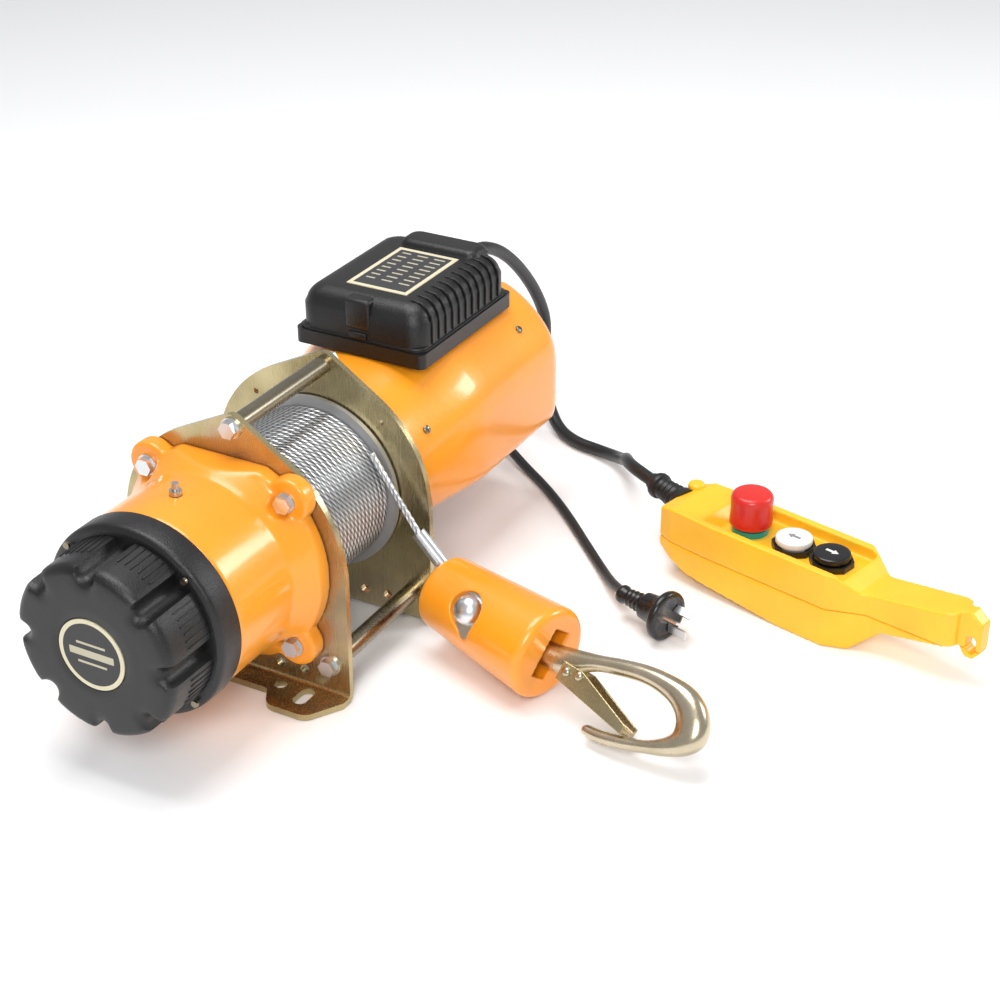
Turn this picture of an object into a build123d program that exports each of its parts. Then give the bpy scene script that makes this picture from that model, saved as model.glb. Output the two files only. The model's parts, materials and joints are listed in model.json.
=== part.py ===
"""Electric wire rope winch: two foot plates, a rope drum between them, a planetary gearbox with a
disc brake on one side, a motor with its control box on the other, a covered safety hook, a mains
lead and a hanging push-button pendant.

Frame: millimetres, +Z up. The origin lies on the floor at the centre of the slotted foot holes.
The drum axis runs along X, the gearbox is on the -X side and the rope leaves towards -Y.
"""
import os
from math import cos, pi, radians, sin, tan

from build123d import *

# ---- driving dimensions: frame ----
AXIS_Z = 105.5             # drum axis above the floor
PLATE_GAP = 112.0          # between the inner faces of the two plates
PLATE_T = 5.0
PLATE_R = 95.0             # round top of each plate, about the drum axis
TOP_ROD_Y, TOP_ROD_Z = -6.5, AXIS_Z + 98.0
TOP_BOSS_R = 10.0
LOW_ROD_Y, LOW_ROD_Z = 80.0, 28.0
ROD_R = 7.0
BOLT_M = 8.0               # thread of the rod and housing bolts
FOOT_REACH = 36.0          # foot beyond the outer face, where the slots are
FOOT_WAIST = 19.0          # foot beyond the outer face, between the holes
WAIST_HALF = 36.0
EAR_INNER, EAR_OUTER, EAR_ROUND = 46.0, 80.0, 11.0
SLOT_Y, SLOT_OUT = 65.5, 15.0       # slot centre: off the middle, and out from the outer face
SLOT_LENGTH, SLOT_W = 21.0, 11.0
HOLE_Y, HOLE_OUT, HOLE_R = 42.0, 10.0, 5.0
BEND_R = 8.0
# ---- driving dimensions: drum and rope ----
ROPE_D = 5.0
ROPE_TURNS = 19
FLANGE_R, FLANGE_T = 71.0, 4.0
WINDING_R = 64.0           # outside of the top layer of rope
LAYERS = 3
DRUM_SIDE_GAP = 1.6        # drum flange to plate
HUB_R = 27.0
BUSH_WALL = 4.0
RUN_FIT = 0.06             # radial clearance of every running fit
BODY_GAP = 0.4             # between parts that move past each other
# ---- driving dimensions: gears ----
MODULE = 2.0
SUN_Z, PLANET_Z, RING_Z = 12, 18, 48
BACKLASH = 0.6
TIP_HEIGHT, ROOT_DEPTH = 0.85, 1.25    # of a tooth, in modules
RING_R = 60.0
PLANETS = 3
PIN_R = 5.0
GEAR_W = 17.0
SHAFT_R = 8.0
CARRIER_R, CARRIER_T = 42.0, 5.0
# ---- driving dimensions: gear housing and brake ----
HOUSING_R = 72.0
HOUSING_X = -154.0         # end of the orange barrel
LOBE_AT, LOBE_R = 59.0, 17.0
LOBE_T = 14.0
FLANGE_HALF_Y, FLANGE_HALF_Z = 84.0, 76.0
SHOULDER_R, SHOULDER_L = 82.0, 16.0     # cone from the flange to the barrel
COVER_RING_R, COVER_RING_X = 73.5, -176.0
COVER_R, COVER_X = 66.0, -222.0
COVER_LOBES = 8
BADGE_R = 27.0
WALL = 5.0
BRAKE_R, BRAKE_T = 50.0, 7.0
BEARING_R, BEARING_W = 17.0, 10.0
# ---- driving dimensions: motor ----
NECK_R, NECK_LENGTH = 71.0, 5.0     # round neck, and its length before the body flares out of it
BODY_HALF = 86.0                    # half width and half height of the body
SIDE_TOP, SIDE_BOTTOM = 36.0, -26.0  # flat side, above and below the axis
TOP_FLAT = 38.0                     # half width of the flat top
BODY_X, BODY_END_X = 163.0, 280.0   # full section
REAR_X, REAR_SCALE = 296.0, 0.86
BODY_ROUND, SIDE_ROUND = 10.0, 8.0
SHELL_WALL = 4.0
FRAME_R = 60.0
FRAME_END_X = 240.0
STATOR_BORE_R = 36.0
STATOR_X0, STATOR_X1 = 100.0, 215.0
AIR_GAP = 0.5
FAN_R, FAN_BLADES = 56.0, 9
# ---- driving dimensions: control box ----
BOX_X0, BOX_X1, BOX_HALF = 114.0, 257.0, 58.0
BOX_Z, BOX_FLANGE_T = AXIS_Z + 79.5, 12.0
BOX_TOP_Z = BOX_Z + 50.0
COVER_INSET = 2.5
BOX_WALL = 3.0
FINS, FIN_MARGIN = 11, 16.0
CORD_RISE = 21.0           # cord glands, above the seat of the box
HUMP_W, HUMP_Z = 30.0, BOX_TOP_Z + 2.5
HUMP_Y0, HUMP_Y1 = -42.0, 31.0
# ---- driving dimensions: hook ----
TILT = 52.0                # the hook lies on its side, turned this far about its own axis
PIN_AT = (30.5, -160.0, 42.3)
HOOK_AIM = (-0.276, -0.959, -0.062)
COVER_BACK, COVER_FORE = 48.0, 64.0     # cover beyond the pin, to the rope and to the hook
COVER_R0, COVER_R1 = 28.5, 36.5
COVER_ROUND = 6.0
ROPE_MOUTH_R, ROPE_MOUTH_DEPTH = 22.5, 28.0
SHANK_W, HOOK_T = 14.0, 15.0
EYE_R = 14.0
HOOK_PIN_R = 6.0
PIN_HEAD_R = 9.5
POCKET_R, POCKET_Y, POCKET_POINT = 14.0, 24.5, (17.0, 6.0)
LEAVE_ANGLE = 143.0        # where the rope leaves the drum, about the axis from +Y
FERRULE_AT = (44.0, -93.0, 89.0)
FERRULE_AIM = (0.025, -0.68, -0.732)
FERRULE_R, FERRULE_LENGTH = 5.5, 42.0
# ---- driving dimensions: cords and plug ----
PENDANT_CORD_D, MAINS_CORD_D = 11.0, 8.0
PLUG_AT = (127.5, -261.0, 20.0)
PLUG_AIM = (-0.29, -0.956, 0.0)
PLUG_R = 20.0
# ---- driving dimensions: pendant ----
PENDANT_AT = (248.0, -198.0, 0.0)
PENDANT_TURN = 256.5       # direction of its long axis, about +Z from +X
PEN_START, PEN_END = 22.0, 208.0
PEN_HALF, PEN_TOP = 32.0, 62.0
PEN_SPLIT = 32.0
PEN_PANEL = 52.0
BOOT_R = 12.0
TAIL_END, TAIL_HALF, TAB_HALF = 302.0, 18.0, 6.5
EYE_W, EYE_HEIGHT, EYE_Z = 8.0, 15.0, 36.0     # hanging eye through the tail's tab
RECESS_START, RECESS_END, RECESS_HALF = 74.0, 190.0, 25.0
HANDLE_RISE = 8.0          # slope of the handle, degrees
ESTOP_AT, WHITE_AT, BLACK_AT = 92.0, 133.0, 168.0
ESTOP_R, ESTOP_H, STEM_R = 17.0, 24.0, 7.6
BUTTON_R, BUTTON_TRAVEL, ESTOP_TRAVEL = 14.5, 4.0, 5.0

# ---- sizes worked out from the driving ones ----
IN_X = PLATE_GAP / 2
OUT_X = IN_X + PLATE_T
NECK_X = OUT_X + NECK_LENGTH
FLANGE_X = IN_X - DRUM_SIDE_GAP                # outer face of each drum flange
WIND_X = FLANGE_X - FLANGE_T                   # inner face of each drum flange
BARREL_R = WINDING_R - ROPE_D * (1 + 0.87 * (LAYERS - 1))
BUSH_R = HUB_R + RUN_FIT + BUSH_WALL
SUN_R, PLANET_R, RING_PITCH_R = (MODULE * z / 2 for z in (SUN_Z, PLANET_Z, RING_Z))
CENTRES = SUN_R + PLANET_R
# gearbox, along the axis from the drum outwards
OUT_CARRIER_X = -(OUT_X + 2.5)                 # drum side of the output carrier
STAGE2_X = OUT_CARRIER_X - CARRIER_T - 1.0
STAGE2_END = STAGE2_X - GEAR_W
MID_CARRIER_X = STAGE2_END - 2.0
STAGE1_X = MID_CARRIER_X - CARRIER_T - 1.0
STAGE1_END = STAGE1_X - GEAR_W
RING_X0, RING_X1 = STAGE1_END - 1.0, STAGE2_X + 1.0
WEB_X = RING_X0 - 2.0                          # gear side of the housing's cross wall
WEB_T = BEARING_W + 1.0
BRAKE_X = WEB_X - WEB_T - 6.0
SHAFT_X0 = BRAKE_X - BRAKE_T - 6.0
END_SHIELD_X = FRAME_END_X
SHAFT_X1 = END_SHIELD_X + BEARING_W + 20.0


def x_cyl(r, x0, x1, y=0.0, z=AXIS_Z):
    """Cylinder along X, on the drum axis unless told otherwise."""
    return Pos((x0 + x1) / 2, y, z) * Rot(0, 90, 0) * Cylinder(r, abs(x1 - x0))


def x_ring(r_out, r_in, x0, x1, y=0.0, z=AXIS_Z):
    return x_cyl(r_out, x0, x1, y, z) - x_cyl(r_in, x0 - 1, x1 + 1, y, z)


def z_cyl(r, z0, z1, x=0.0, y=0.0):
    return Pos(x, y, (z0 + z1) / 2) * Cylinder(r, z1 - z0)


def block(x0, x1, y0, y1, z0, z1):
    return Pos((x0 + x1) / 2, (y0 + y1) / 2, (z0 + z1) / 2) * Box(x1 - x0, y1 - y0, z1 - z0)


def along(start, aim):
    """Location whose Z axis runs along aim, with the origin at start."""
    return Plane(origin=start, z_dir=aim).location


def hex_bolt(x, y, z, side, washer=True, thread=BOLT_M, length=10.0):
    """Hexagon bolt whose head stands on a face at x and points to side (+1 or -1)."""
    washer_t = 1.6 if washer else 0.0
    head = extrude(Plane.YZ * RegularPolygon(thread * 0.86, 6), thread * 0.65)
    turn = Rot(0, 0, 0) if side > 0 else Rot(0, 180, 0)
    bolt = turn * Pos(washer_t, 0, 0) * head
    if washer:
        bolt += turn * Pos(washer_t / 2, 0, 0) * Rot(0, 90, 0) * Cylinder(thread, washer_t)
    bolt += turn * Pos((washer_t - length) / 2, 0, 0) * Rot(0, 90, 0) * Cylinder(thread / 2,
                                                                                 length + washer_t)
    return Pos(x, y, z) * bolt


def gather(solids):
    """Separate solids of one node, such as a set of bolts."""
    return Compound(children=[s for item in solids for s in item.solids()])


NODES = {}


def node(name, shape):
    NODES[name] = shape


# ---- frame ----
ROD_PLACES = ((TOP_ROD_Y, TOP_ROD_Z), (-LOW_ROD_Y, LOW_ROD_Z), (LOW_ROD_Y, LOW_ROD_Z))
LOBE_PLACES = [(sy * LOBE_AT, AXIS_Z + sz * LOBE_AT) for sy in (-1, 1) for sz in (-1, 1)]


def foot_sketch():
    """Foot seen from above, to the outside of the plate, with x measured out from its inner face."""
    reach, waist = PLATE_T + FOOT_REACH, PLATE_T + FOOT_WAIST
    half = PLATE_R + 1.0
    right = [(0, half), (PLATE_T + 9, half), (reach, EAR_OUTER), (reach, EAR_INNER),
             (waist, WAIST_HALF), (waist, 0), (0, 0)]
    shape = make_face(Polyline(right, close=True))
    shape = shape + mirror(shape, Plane.XZ)
    ears = [v for v in shape.vertices() if v.X > waist + 1]
    shape = fillet(ears, EAR_ROUND)
    for side in (-1, 1):
        shape -= Pos(PLATE_T + SLOT_OUT, side * SLOT_Y) * SlotOverall(SLOT_LENGTH, SLOT_W)
        shape -= Pos(PLATE_T + HOLE_OUT, side * HOLE_Y) * Circle(HOLE_R)
    return shape


def foot_plate(bolts_through):
    """Plate with its foot bent outwards, to +X, and its inner face at x = 0."""
    half = PLATE_R + 1.0
    outline = make_hull((Pos(0, AXIS_Z) * Circle(PLATE_R)
                         + Pos(TOP_ROD_Y, TOP_ROD_Z) * Circle(TOP_BOSS_R)
                         + Pos(0, AXIS_Z / 2) * Rectangle(2 * half, AXIS_Z)).edges())
    outline -= Pos(0, AXIS_Z) * Circle(BUSH_R)
    for y, z in ROD_PLACES:
        outline -= Pos(y, z) * Circle(BOLT_M / 2)
    for side in (-1, 1):
        outline -= Pos(side * 36.5, 17) * Circle(4)
        outline -= Pos(side * 57, 17.5) * Circle(4)
        outline -= Pos(side * 56, 167) * Circle(2.2)
    for y, z in bolts_through:
        outline -= Pos(y, z) * Circle(BOLT_M / 2)
    plate = extrude(Plane.YZ * outline, PLATE_T) + extrude(foot_sketch(), PLATE_T)
    heel = plate.edges().filter_by(Axis.Y).filter_by(lambda e: e.center().X < 0.1
                                                     and e.center().Z < 0.1)
    plate = fillet(heel, BEND_R)
    inner = plate.edges().filter_by(Axis.Y).filter_by(
        lambda e: abs(e.center().X - PLATE_T) < 0.1 and abs(e.center().Z - PLATE_T) < 0.1)
    return fillet(inner, BEND_R - PLATE_T)


def build_frame():
    gear_plate = mirror(foot_plate(LOBE_PLACES), Plane.YZ)
    node("gear_side_plate", Pos(-IN_X, 0, 0) * gear_plate)
    node("motor_side_plate", Pos(IN_X, 0, 0) * foot_plate([]))
    rods, bolts = [], []
    for y, z in ROD_PLACES:
        rods.append(x_cyl(ROD_R, -IN_X, IN_X, y, z)
                    - x_cyl(BOLT_M / 2, -IN_X - 1, 14 - IN_X, y, z)
                    - x_cyl(BOLT_M / 2, IN_X - 14, IN_X + 1, y, z))
        for side in (-1, 1):
            bolts.append(hex_bolt(side * OUT_X, y, z, side, length=PLATE_T + 12))
    node("tie_rods", gather(rods))
    node("tie_rod_bolts", gather(bolts))
    bushes = []
    for side in (-1, 1):
        inside = side * (IN_X - DRUM_SIDE_GAP / 2)
        collar = x_ring(BUSH_R + 4, HUB_R + RUN_FIT, *sorted((inside, side * IN_X)))
        bushes.append(collar + x_ring(BUSH_R, HUB_R + RUN_FIT, *sorted((inside, side * OUT_X))))
    node("drum_bushes", gather(bushes))


# ---- drum and rope ----
def build_drum():
    drum = x_ring(BARREL_R, BARREL_R - 6, -FLANGE_X, FLANGE_X)
    for side in (-1, 1):
        disc = x_ring(FLANGE_R, SHAFT_R + 4, *sorted((side * WIND_X, side * FLANGE_X)))
        drum += disc
        drum += x_ring(HUB_R, SHAFT_R + 4, *sorted((side * WIND_X, side * (OUT_X + 1))))
    carrier_end = OUT_CARRIER_X - CARRIER_T
    drum += x_ring(HUB_R, SHAFT_R + 4, OUT_CARRIER_X - 1, -OUT_X)
    drum += x_ring(CARRIER_R, SHAFT_R + 4, carrier_end, OUT_CARRIER_X)
    for y, z in planet_places():
        drum += x_cyl(PIN_R, STAGE2_END - 0.6, OUT_CARRIER_X - 1, y, z)
    node("drum", drum)
    pitch, low = 2 * WIND_X / ROPE_TURNS, WINDING_R - ROPE_D * 0.3
    winding = x_ring(low, BARREL_R, -WIND_X, WIND_X)
    for i in range(ROPE_TURNS):
        x0 = -WIND_X + i * pitch
        profile = Polyline((x0, low - 1), (x0, low), (x0 + pitch * 0.25, WINDING_R),
                           (x0 + pitch * 0.75, WINDING_R), (x0 + pitch, low),
                           (x0 + pitch, low - 1), close=True)
        bead = revolve(Plane.XZ * make_face(profile), Axis.X)
        winding += Pos(0, 0, AXIS_Z) * bead
    node("rope_winding", winding)


# ---- gears ----
def planet_places():
    return [(CENTRES * cos(radians(360 / PLANETS * k)),
             AXIS_Z + CENTRES * sin(radians(360 / PLANETS * k))) for k in range(PLANETS)]


def tooth_points(teeth, outward, at):
    """Corners of one tooth whose middle is at the angle at; outward is 1 on a gear, -1 on a ring."""
    pitch_r = MODULE * teeth / 2
    half = (pi * MODULE / 2 - BACKLASH) / 2
    root = pitch_r - outward * ROOT_DEPTH * MODULE
    tip = pitch_r + outward * TIP_HEIGHT * MODULE
    slope = tan(radians(20))
    corners = []
    for radius, side in ((root, -1), (tip, -1), (tip, 1), (root, 1)):
        width = half - outward * (radius - pitch_r) * slope
        angle = at + side * width / radius
        corners.append((radius * cos(angle), radius * sin(angle)))
    return corners


def gear_outline(teeth, outward, phase=0.0):
    """Toothed outline; a tooth points to angle 0 when phase is 0, and a gap when it is half."""
    points = []
    for i in range(teeth):
        points += tooth_points(teeth, outward, 2 * pi * (i + phase) / teeth)
    return make_face(Polyline(points, close=True))


def x_gear(outline, x0, x1, y=0.0, z=AXIS_Z):
    """Outline in the plane across X, where its own x is +Y and its own y is +Z."""
    return Pos(x0, y, z) * extrude(Plane.YZ * outline, x1 - x0)


def build_gears():
    ring = x_cyl(RING_R, RING_X0, RING_X1)
    ring -= x_gear(gear_outline(RING_Z, -1), RING_X0 - 1, RING_X1 + 1)
    node("ring_gear", ring)
    stages = (("output_planet", STAGE2_END, STAGE2_X), ("first_planet", STAGE1_END, STAGE1_X))
    for name, x0, x1 in stages:
        planet = x_gear(gear_outline(PLANET_Z, 1, 0.5), x0, x1, CENTRES)
        planet -= x_cyl(PIN_R + RUN_FIT, x0 - 1, x1 + 1, CENTRES)
        for k in range(PLANETS):
            turned = planet.rotate(Axis((0, 0, AXIS_Z), (1, 0, 0)), 360 / PLANETS * k)
            node(f"{name}_{k + 1}", turned)
    carrier = x_cyl(CARRIER_R, MID_CARRIER_X - CARRIER_T, MID_CARRIER_X)
    carrier += x_gear(gear_outline(SUN_Z, 1), MID_CARRIER_X - 1, STAGE2_X)
    for y, z in planet_places():
        carrier += x_cyl(PIN_R, STAGE1_END - 0.6, MID_CARRIER_X - 1, y, z)
    node("first_carrier", carrier - x_cyl(SHAFT_R + BODY_GAP, STAGE1_END, STAGE2_X + 1))
    shaft = x_cyl(SHAFT_R, SHAFT_X0, SHAFT_X1)
    shaft += x_gear(gear_outline(SUN_Z, 1), STAGE1_END, STAGE1_X - 0.4)
    node("motor_shaft", shaft)


# ---- gear housing and brake ----
def build_housing():
    outline = Circle(FLANGE_HALF_Y) & Rectangle(3 * FLANGE_HALF_Y, 2 * FLANGE_HALF_Z)
    outline = Pos(0, AXIS_Z) * outline
    for y, z in LOBE_PLACES:
        outline += Pos(y, z) * Circle(LOBE_R)
    flange = Pos(-OUT_X - LOBE_T, 0, 0) * extrude(Plane.YZ * outline, LOBE_T)
    housing = flange + x_cyl(HOUSING_R, HOUSING_X, -OUT_X)
    shoulder = Pos(-OUT_X - LOBE_T - SHOULDER_L / 2, 0, AXIS_Z) * Rot(0, -90, 0) * Cone(
        SHOULDER_R, HOUSING_R, SHOULDER_L)
    housing += shoulder & Pos(-OUT_X - LOBE_T, 0, AXIS_Z) * Box(200, 200, 2 * FLANGE_HALF_Z)
    housing -= x_cyl(RING_R, RING_X0, -OUT_X + 1)
    housing -= x_cyl(RING_R - 8, WEB_X, RING_X0 + 1)
    housing -= x_cyl(HOUSING_R - 2 * WALL, HOUSING_X - 1, WEB_X - WEB_T)
    housing -= x_cyl(BEARING_R, WEB_X - BEARING_W, WEB_X + 1)
    housing -= x_cyl(SHAFT_R + 2, HOUSING_X, WEB_X)
    for y, z in LOBE_PLACES:
        housing -= x_cyl(BOLT_M / 2, -OUT_X - LOBE_T - 1, -OUT_X + 1, y, z)
        housing -= x_cyl(BOLT_M + 2, -OUT_X - LOBE_T - 40, -OUT_X - LOBE_T, y, z)
    plug_x = -120.0
    housing -= z_cyl(3, AXIS_Z + 40, AXIS_Z + 90, plug_x) - x_cyl(RING_R, RING_X0, RING_X1)
    node("gear_housing", housing)
    node("housing_bolts", gather(hex_bolt(-OUT_X - LOBE_T, y, z, -1, length=LOBE_T + PLATE_T)
                                 for y, z in LOBE_PLACES))
    top = AXIS_Z + HOUSING_R
    node("oil_plug", z_cyl(3, top - 5, top + 1, plug_x) + z_cyl(4.5, top, top + 3.5, plug_x)
         + z_cyl(2.6, top + 3, top + 9, plug_x))
    ring = x_cyl(COVER_RING_R, COVER_RING_X, HOUSING_X)
    ring = chamfer(ring.edges().group_by(Axis.X)[0], 2)
    ring -= x_cyl(COVER_RING_R - 2 * WALL, COVER_RING_X - 1, HOUSING_X + 1)
    node("brake_housing", ring)
    outline = Circle(COVER_R)
    for k in range(COVER_LOBES):
        outline -= Rot(0, 0, 360 / COVER_LOBES * k + 90) * Pos(COVER_R + 2, 0) * Circle(8)
    cover = Pos(COVER_X, 0, AXIS_Z) * extrude(Plane.YZ * outline, COVER_RING_X - COVER_X)
    cover = chamfer(cover.edges().group_by(Axis.X)[0], 5)
    cover -= x_cyl(COVER_R - 13, COVER_X + WALL, COVER_RING_X + 1)
    cover -= x_cyl(BADGE_R, COVER_X - 1, COVER_X + 1)
    cover = cover + x_ring(COVER_RING_R - 3, COVER_R - 13, COVER_RING_X - 3, COVER_RING_X)
    node("brake_cover", cover)
    node("end_badge", x_cyl(BADGE_R, COVER_X, COVER_X + 1))
    screws = []
    for k in range(4):
        angle = radians(45 + 90 * k)
        y, z = 69 * cos(angle), AXIS_Z + 69 * sin(angle)
        screws.append(x_cyl(2.6, COVER_RING_X - 5, COVER_RING_X - 3, y, z))
    node("cover_screws", gather(screws))
    disc = x_ring(BRAKE_R, SHAFT_R, BRAKE_X - BRAKE_T, BRAKE_X)
    node("brake_disc", disc)
    coil = x_ring(HOUSING_R - 2 * WALL, SHAFT_R + 5, COVER_RING_X + 2, BRAKE_X - BRAKE_T - 2)
    node("brake_magnet", coil)


# ---- motor ----
def body_section(x, scale=1.0, inset=0.0):
    """Section of the motor body across the axis at x: flat sides, round shoulders, narrow base."""
    half, top = BODY_HALF * scale - inset, BODY_HALF * scale - inset
    flat, high, low = TOP_FLAT * scale, SIDE_TOP * scale, SIDE_BOTTOM * scale + inset * 0.4
    base_z = -(NECK_R ** 2 - 52 ** 2) ** 0.5 * scale + inset
    bulge = (half ** 2 + high ** 2) ** 0.5
    mid = bulge * 0.5 ** 0.5
    base = 52 * scale - inset
    outline = [Line((-base, base_z), (base, base_z)), Line((base, base_z), (half, low)),
               Line((half, low), (half, high)),
               ThreePointArc((half, high), (mid, mid), (flat, top)), Line((flat, top), (-flat, top)),
               ThreePointArc((-flat, top), (-mid, mid), (-half, high)),
               Line((-half, high), (-half, low)), Line((-half, low), (-base, base_z))]
    face = make_face([line.edges()[0] for line in outline])
    corners = [v for v in face.vertices() if abs(abs(v.X) - half) < 0.01 and v.Y < 0]
    face = fillet(corners, BODY_ROUND * scale)
    shoulders = [v for v in face.vertices() if v.Y > 0]
    face = fillet(shoulders, SIDE_ROUND * scale)
    return Pos(x, 0, AXIS_Z) * (Plane.YZ * face)


def motor_body(inset):
    """Outside of the motor shell, or its inside when inset is the wall."""
    neck_scale = (NECK_R - 1.0) / (BODY_HALF ** 2 + SIDE_TOP ** 2) ** 0.5
    start = OUT_X if inset == 0 else OUT_X - 1
    neck = body_section(NECK_X, neck_scale, inset)
    front, back = body_section(BODY_X, 1.0, inset), body_section(BODY_END_X, 1.0, inset)
    rear = body_section(REAR_X - inset, REAR_SCALE, inset)
    body = x_cyl(NECK_R - inset, start, BODY_END_X)
    for pair in ((neck, front), (front, back), (back, rear)):
        body += loft(list(pair), ruled=True)
    return body


def build_motor():
    shell = motor_body(0) - motor_body(SHELL_WALL)
    outside = motor_body(0)
    node("motor_shell", shell)
    frame = x_cyl(NECK_R - SHELL_WALL, OUT_X, OUT_X + 9)
    frame += x_cyl(FRAME_R, OUT_X + 8, FRAME_END_X)
    frame -= x_cyl(FRAME_R - 6, OUT_X + 9, FRAME_END_X + 1)
    frame -= x_cyl(HUB_R + 1, OUT_X - 1, OUT_X + 3)
    frame -= x_cyl(SHAFT_R + 2, OUT_X - 1, OUT_X + 10)
    node("motor_frame", frame)
    shield = x_cyl(FRAME_R, FRAME_END_X, FRAME_END_X + BEARING_W)
    shield -= x_cyl(BEARING_R, FRAME_END_X - 1, FRAME_END_X + BEARING_W + 1)
    node("motor_end_shield", shield)
    stator = x_ring(FRAME_R - 6, STATOR_BORE_R, STATOR_X0, STATOR_X1)
    for k in range(12):
        slot = Rot(30 * k, 0, 0) * block(STATOR_X0 - 1, STATOR_X1 + 1, -3, 3,
                                         STATOR_BORE_R + 3, STATOR_BORE_R + 12)
        stator -= Pos(0, 0, AXIS_Z) * slot
    node("stator", stator)
    node("rotor_core", x_ring(STATOR_BORE_R - AIR_GAP, SHAFT_R, STATOR_X0, STATOR_X1))
    bearings = [x_ring(BEARING_R, SHAFT_R + RUN_FIT, WEB_X - BEARING_W, WEB_X),
                x_ring(BEARING_R, SHAFT_R + RUN_FIT, FRAME_END_X, FRAME_END_X + BEARING_W)]
    node("shaft_bearings", gather(bearings))
    fan_x = FRAME_END_X + BEARING_W + 3
    fan = x_ring(FAN_R * 0.35, SHAFT_R, fan_x, fan_x + 12) + x_ring(FAN_R, SHAFT_R, fan_x, fan_x + 2)
    for k in range(FAN_BLADES):
        blade = Rot(360 / FAN_BLADES * k, 0, 0) * block(fan_x + 1, fan_x + 12, -1, 1, 16, FAN_R)
        fan += Pos(0, 0, AXIS_Z) * blade
    node("cooling_fan", fan)
    return outside


# ---- control box ----
def build_box(motor_outside):
    """Flanged base that saddles the motor, its ribbed cover, and what is inside."""
    base = block(BOX_X0, BOX_X1, -BOX_HALF, BOX_HALF, BOX_Z, BOX_Z + BOX_FLANGE_T)
    base = fillet(base.edges().filter_by(Axis.Z), 6)
    base -= motor_outside
    node("control_box_base", base)
    x0, x1 = BOX_X0 + COVER_INSET, BOX_X1 - COVER_INSET
    half = BOX_HALF - COVER_INSET
    z0 = BOX_Z + BOX_FLANGE_T
    cover = block(x0, x1, -half, half, z0, BOX_TOP_Z - 3)
    cover = fillet(cover.edges().filter_by(Axis.Z), 12)
    cover = fillet(cover.faces().sort_by(Axis.Z)[-1].edges(), 11)
    hump = block(x1 - HUMP_W - 1, x1 - 1, HUMP_Y0, HUMP_Y1, BOX_TOP_Z - 20, HUMP_Z)
    hump = fillet(hump.edges().filter_by(Axis.Z), 9)
    cover += fillet(hump.faces().sort_by(Axis.Z)[-1].edges(), 5)
    fin_pitch = (x1 - x0 - 2 * FIN_MARGIN) / (FINS - 1)
    for i in range(FINS):
        x = x0 + FIN_MARGIN + i * fin_pitch
        cover += block(x - 1.2, x + 1.2, -half - 2.0, -half + 4, z0, BOX_TOP_Z - 13)
    cover -= block(x0 + BOX_WALL, x1 - BOX_WALL, -half + BOX_WALL + 4, half - BOX_WALL,
                   z0 - 1, BOX_TOP_Z - 10)
    screw_places = [(x, y) for x in (BOX_X0 + 6.5, BOX_X1 - 6.5) for y in (-24, 18)]
    for x, y in screw_places:
        cover -= z_cyl(4.6, z0 - 1, z0 + 16, x, y)
    for (x, y, z), d in ((PENDANT_EXIT, PENDANT_CORD_D), (MAINS_EXIT, MAINS_CORD_D)):
        cover -= x_cyl(d / 2 + 0.5, GLAND_X - 12, GLAND_X + 1, y, z)
    node("control_box_cover", cover)
    node("nameplate", block(x0 + 22, x1 - HUMP_W - 5, -30, 24, BOX_TOP_Z - 3, BOX_TOP_Z - 2.4))
    inner = z0
    node("contactor", block(x0 + 14, x0 + 52, -26, 26, inner, inner + 22))
    node("capacitor", Pos(x0 + 84, -22, inner + 13) * Rot(0, 90, 0) * Cylinder(13, 52))
    node("terminal_block", block(x0 + 60, x0 + 108, 8, 26, inner, inner + 14))
    node("box_screws", gather(z_cyl(3.4, z0, z0 + 2.6, x, y) for x, y in screw_places))


# ---- cords ----
def cord_radii(points):
    """One radius for each inner point: 0.45 of the shorter run over the tangent of half the turn."""
    vectors = [Vector(*b) - Vector(*a) for a, b in zip(points, points[1:])]
    radii = []
    for before, after in zip(vectors, vectors[1:]):
        turn = radians(before.get_angle(after))
        radii.append(0.45 * min(before.length, after.length) / tan(turn / 2))
    return radii


def cord_tube(name, points, diameter):
    """Round tube along straight runs joined by tangent arcs."""
    radii = cord_radii(points)
    path = FilletPolyline(*points, radius=radii)
    start = Plane(origin=path @ 0, z_dir=path % 0)
    tube = sweep(start * Circle(diameter / 2), path=path)
    ratio = tube.volume / (pi * diameter ** 2 / 4 * path.length)
    print(name, "length", round(path.length), "volume ratio", round(ratio, 4),
          "radii", [round(r) for r in radii])
    node(name, tube)


GLAND_X = BOX_X1 - COVER_INSET
PENDANT_EXIT = (GLAND_X + 22, 2, BOX_Z + CORD_RISE)
MAINS_EXIT = (GLAND_X + 22, 32, BOX_Z + CORD_RISE)
PENDANT_ROUTE = [PENDANT_EXIT, (304, 2, 206), (335, 2, 195), (363, 1, 176), (390, 0, 150),
                 (412.1, -1, 122.1), (427.7, -1, 94.8), (430.3, 0.3, 65.8), (422.1, -4.2, 38.4),
                 (406.6, -16.4, 17.4), (388.8, -36, 6.1), (373.9, -60.6, 5.6), (369.8, -86.2, 5.8),
                 (359.7, -106.8, 9.7), (344.1, -123.1, 17.9), (325, -134, 30), (305.8, -142.1, 41.7),
                 (287.9, -153.5, 48.3), (274.2, -168.5, 51.3), (264.7, -186.6, 50.8)]
BOOT_END = (246.8, -220.3, 50.0)
MAINS_ROUTE = [MAINS_EXIT, (298, 32, 206), (323.1, 32.7, 194.3), (341.8, 34, 165.8), (347, 34, 126),
               (350, 31, 84), (348.1, 22.2, 44), (339.8, 1.8, 14.2), (316.3, -37.8, 4.1),
               (287.7, -76.3, 4.1), (255.7, -112.1, 4.1), (221.4, -145.7, 4.1), (186.9, -179.1, 5),
               (162, -200, 11), (146, -216, 18)]


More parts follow.
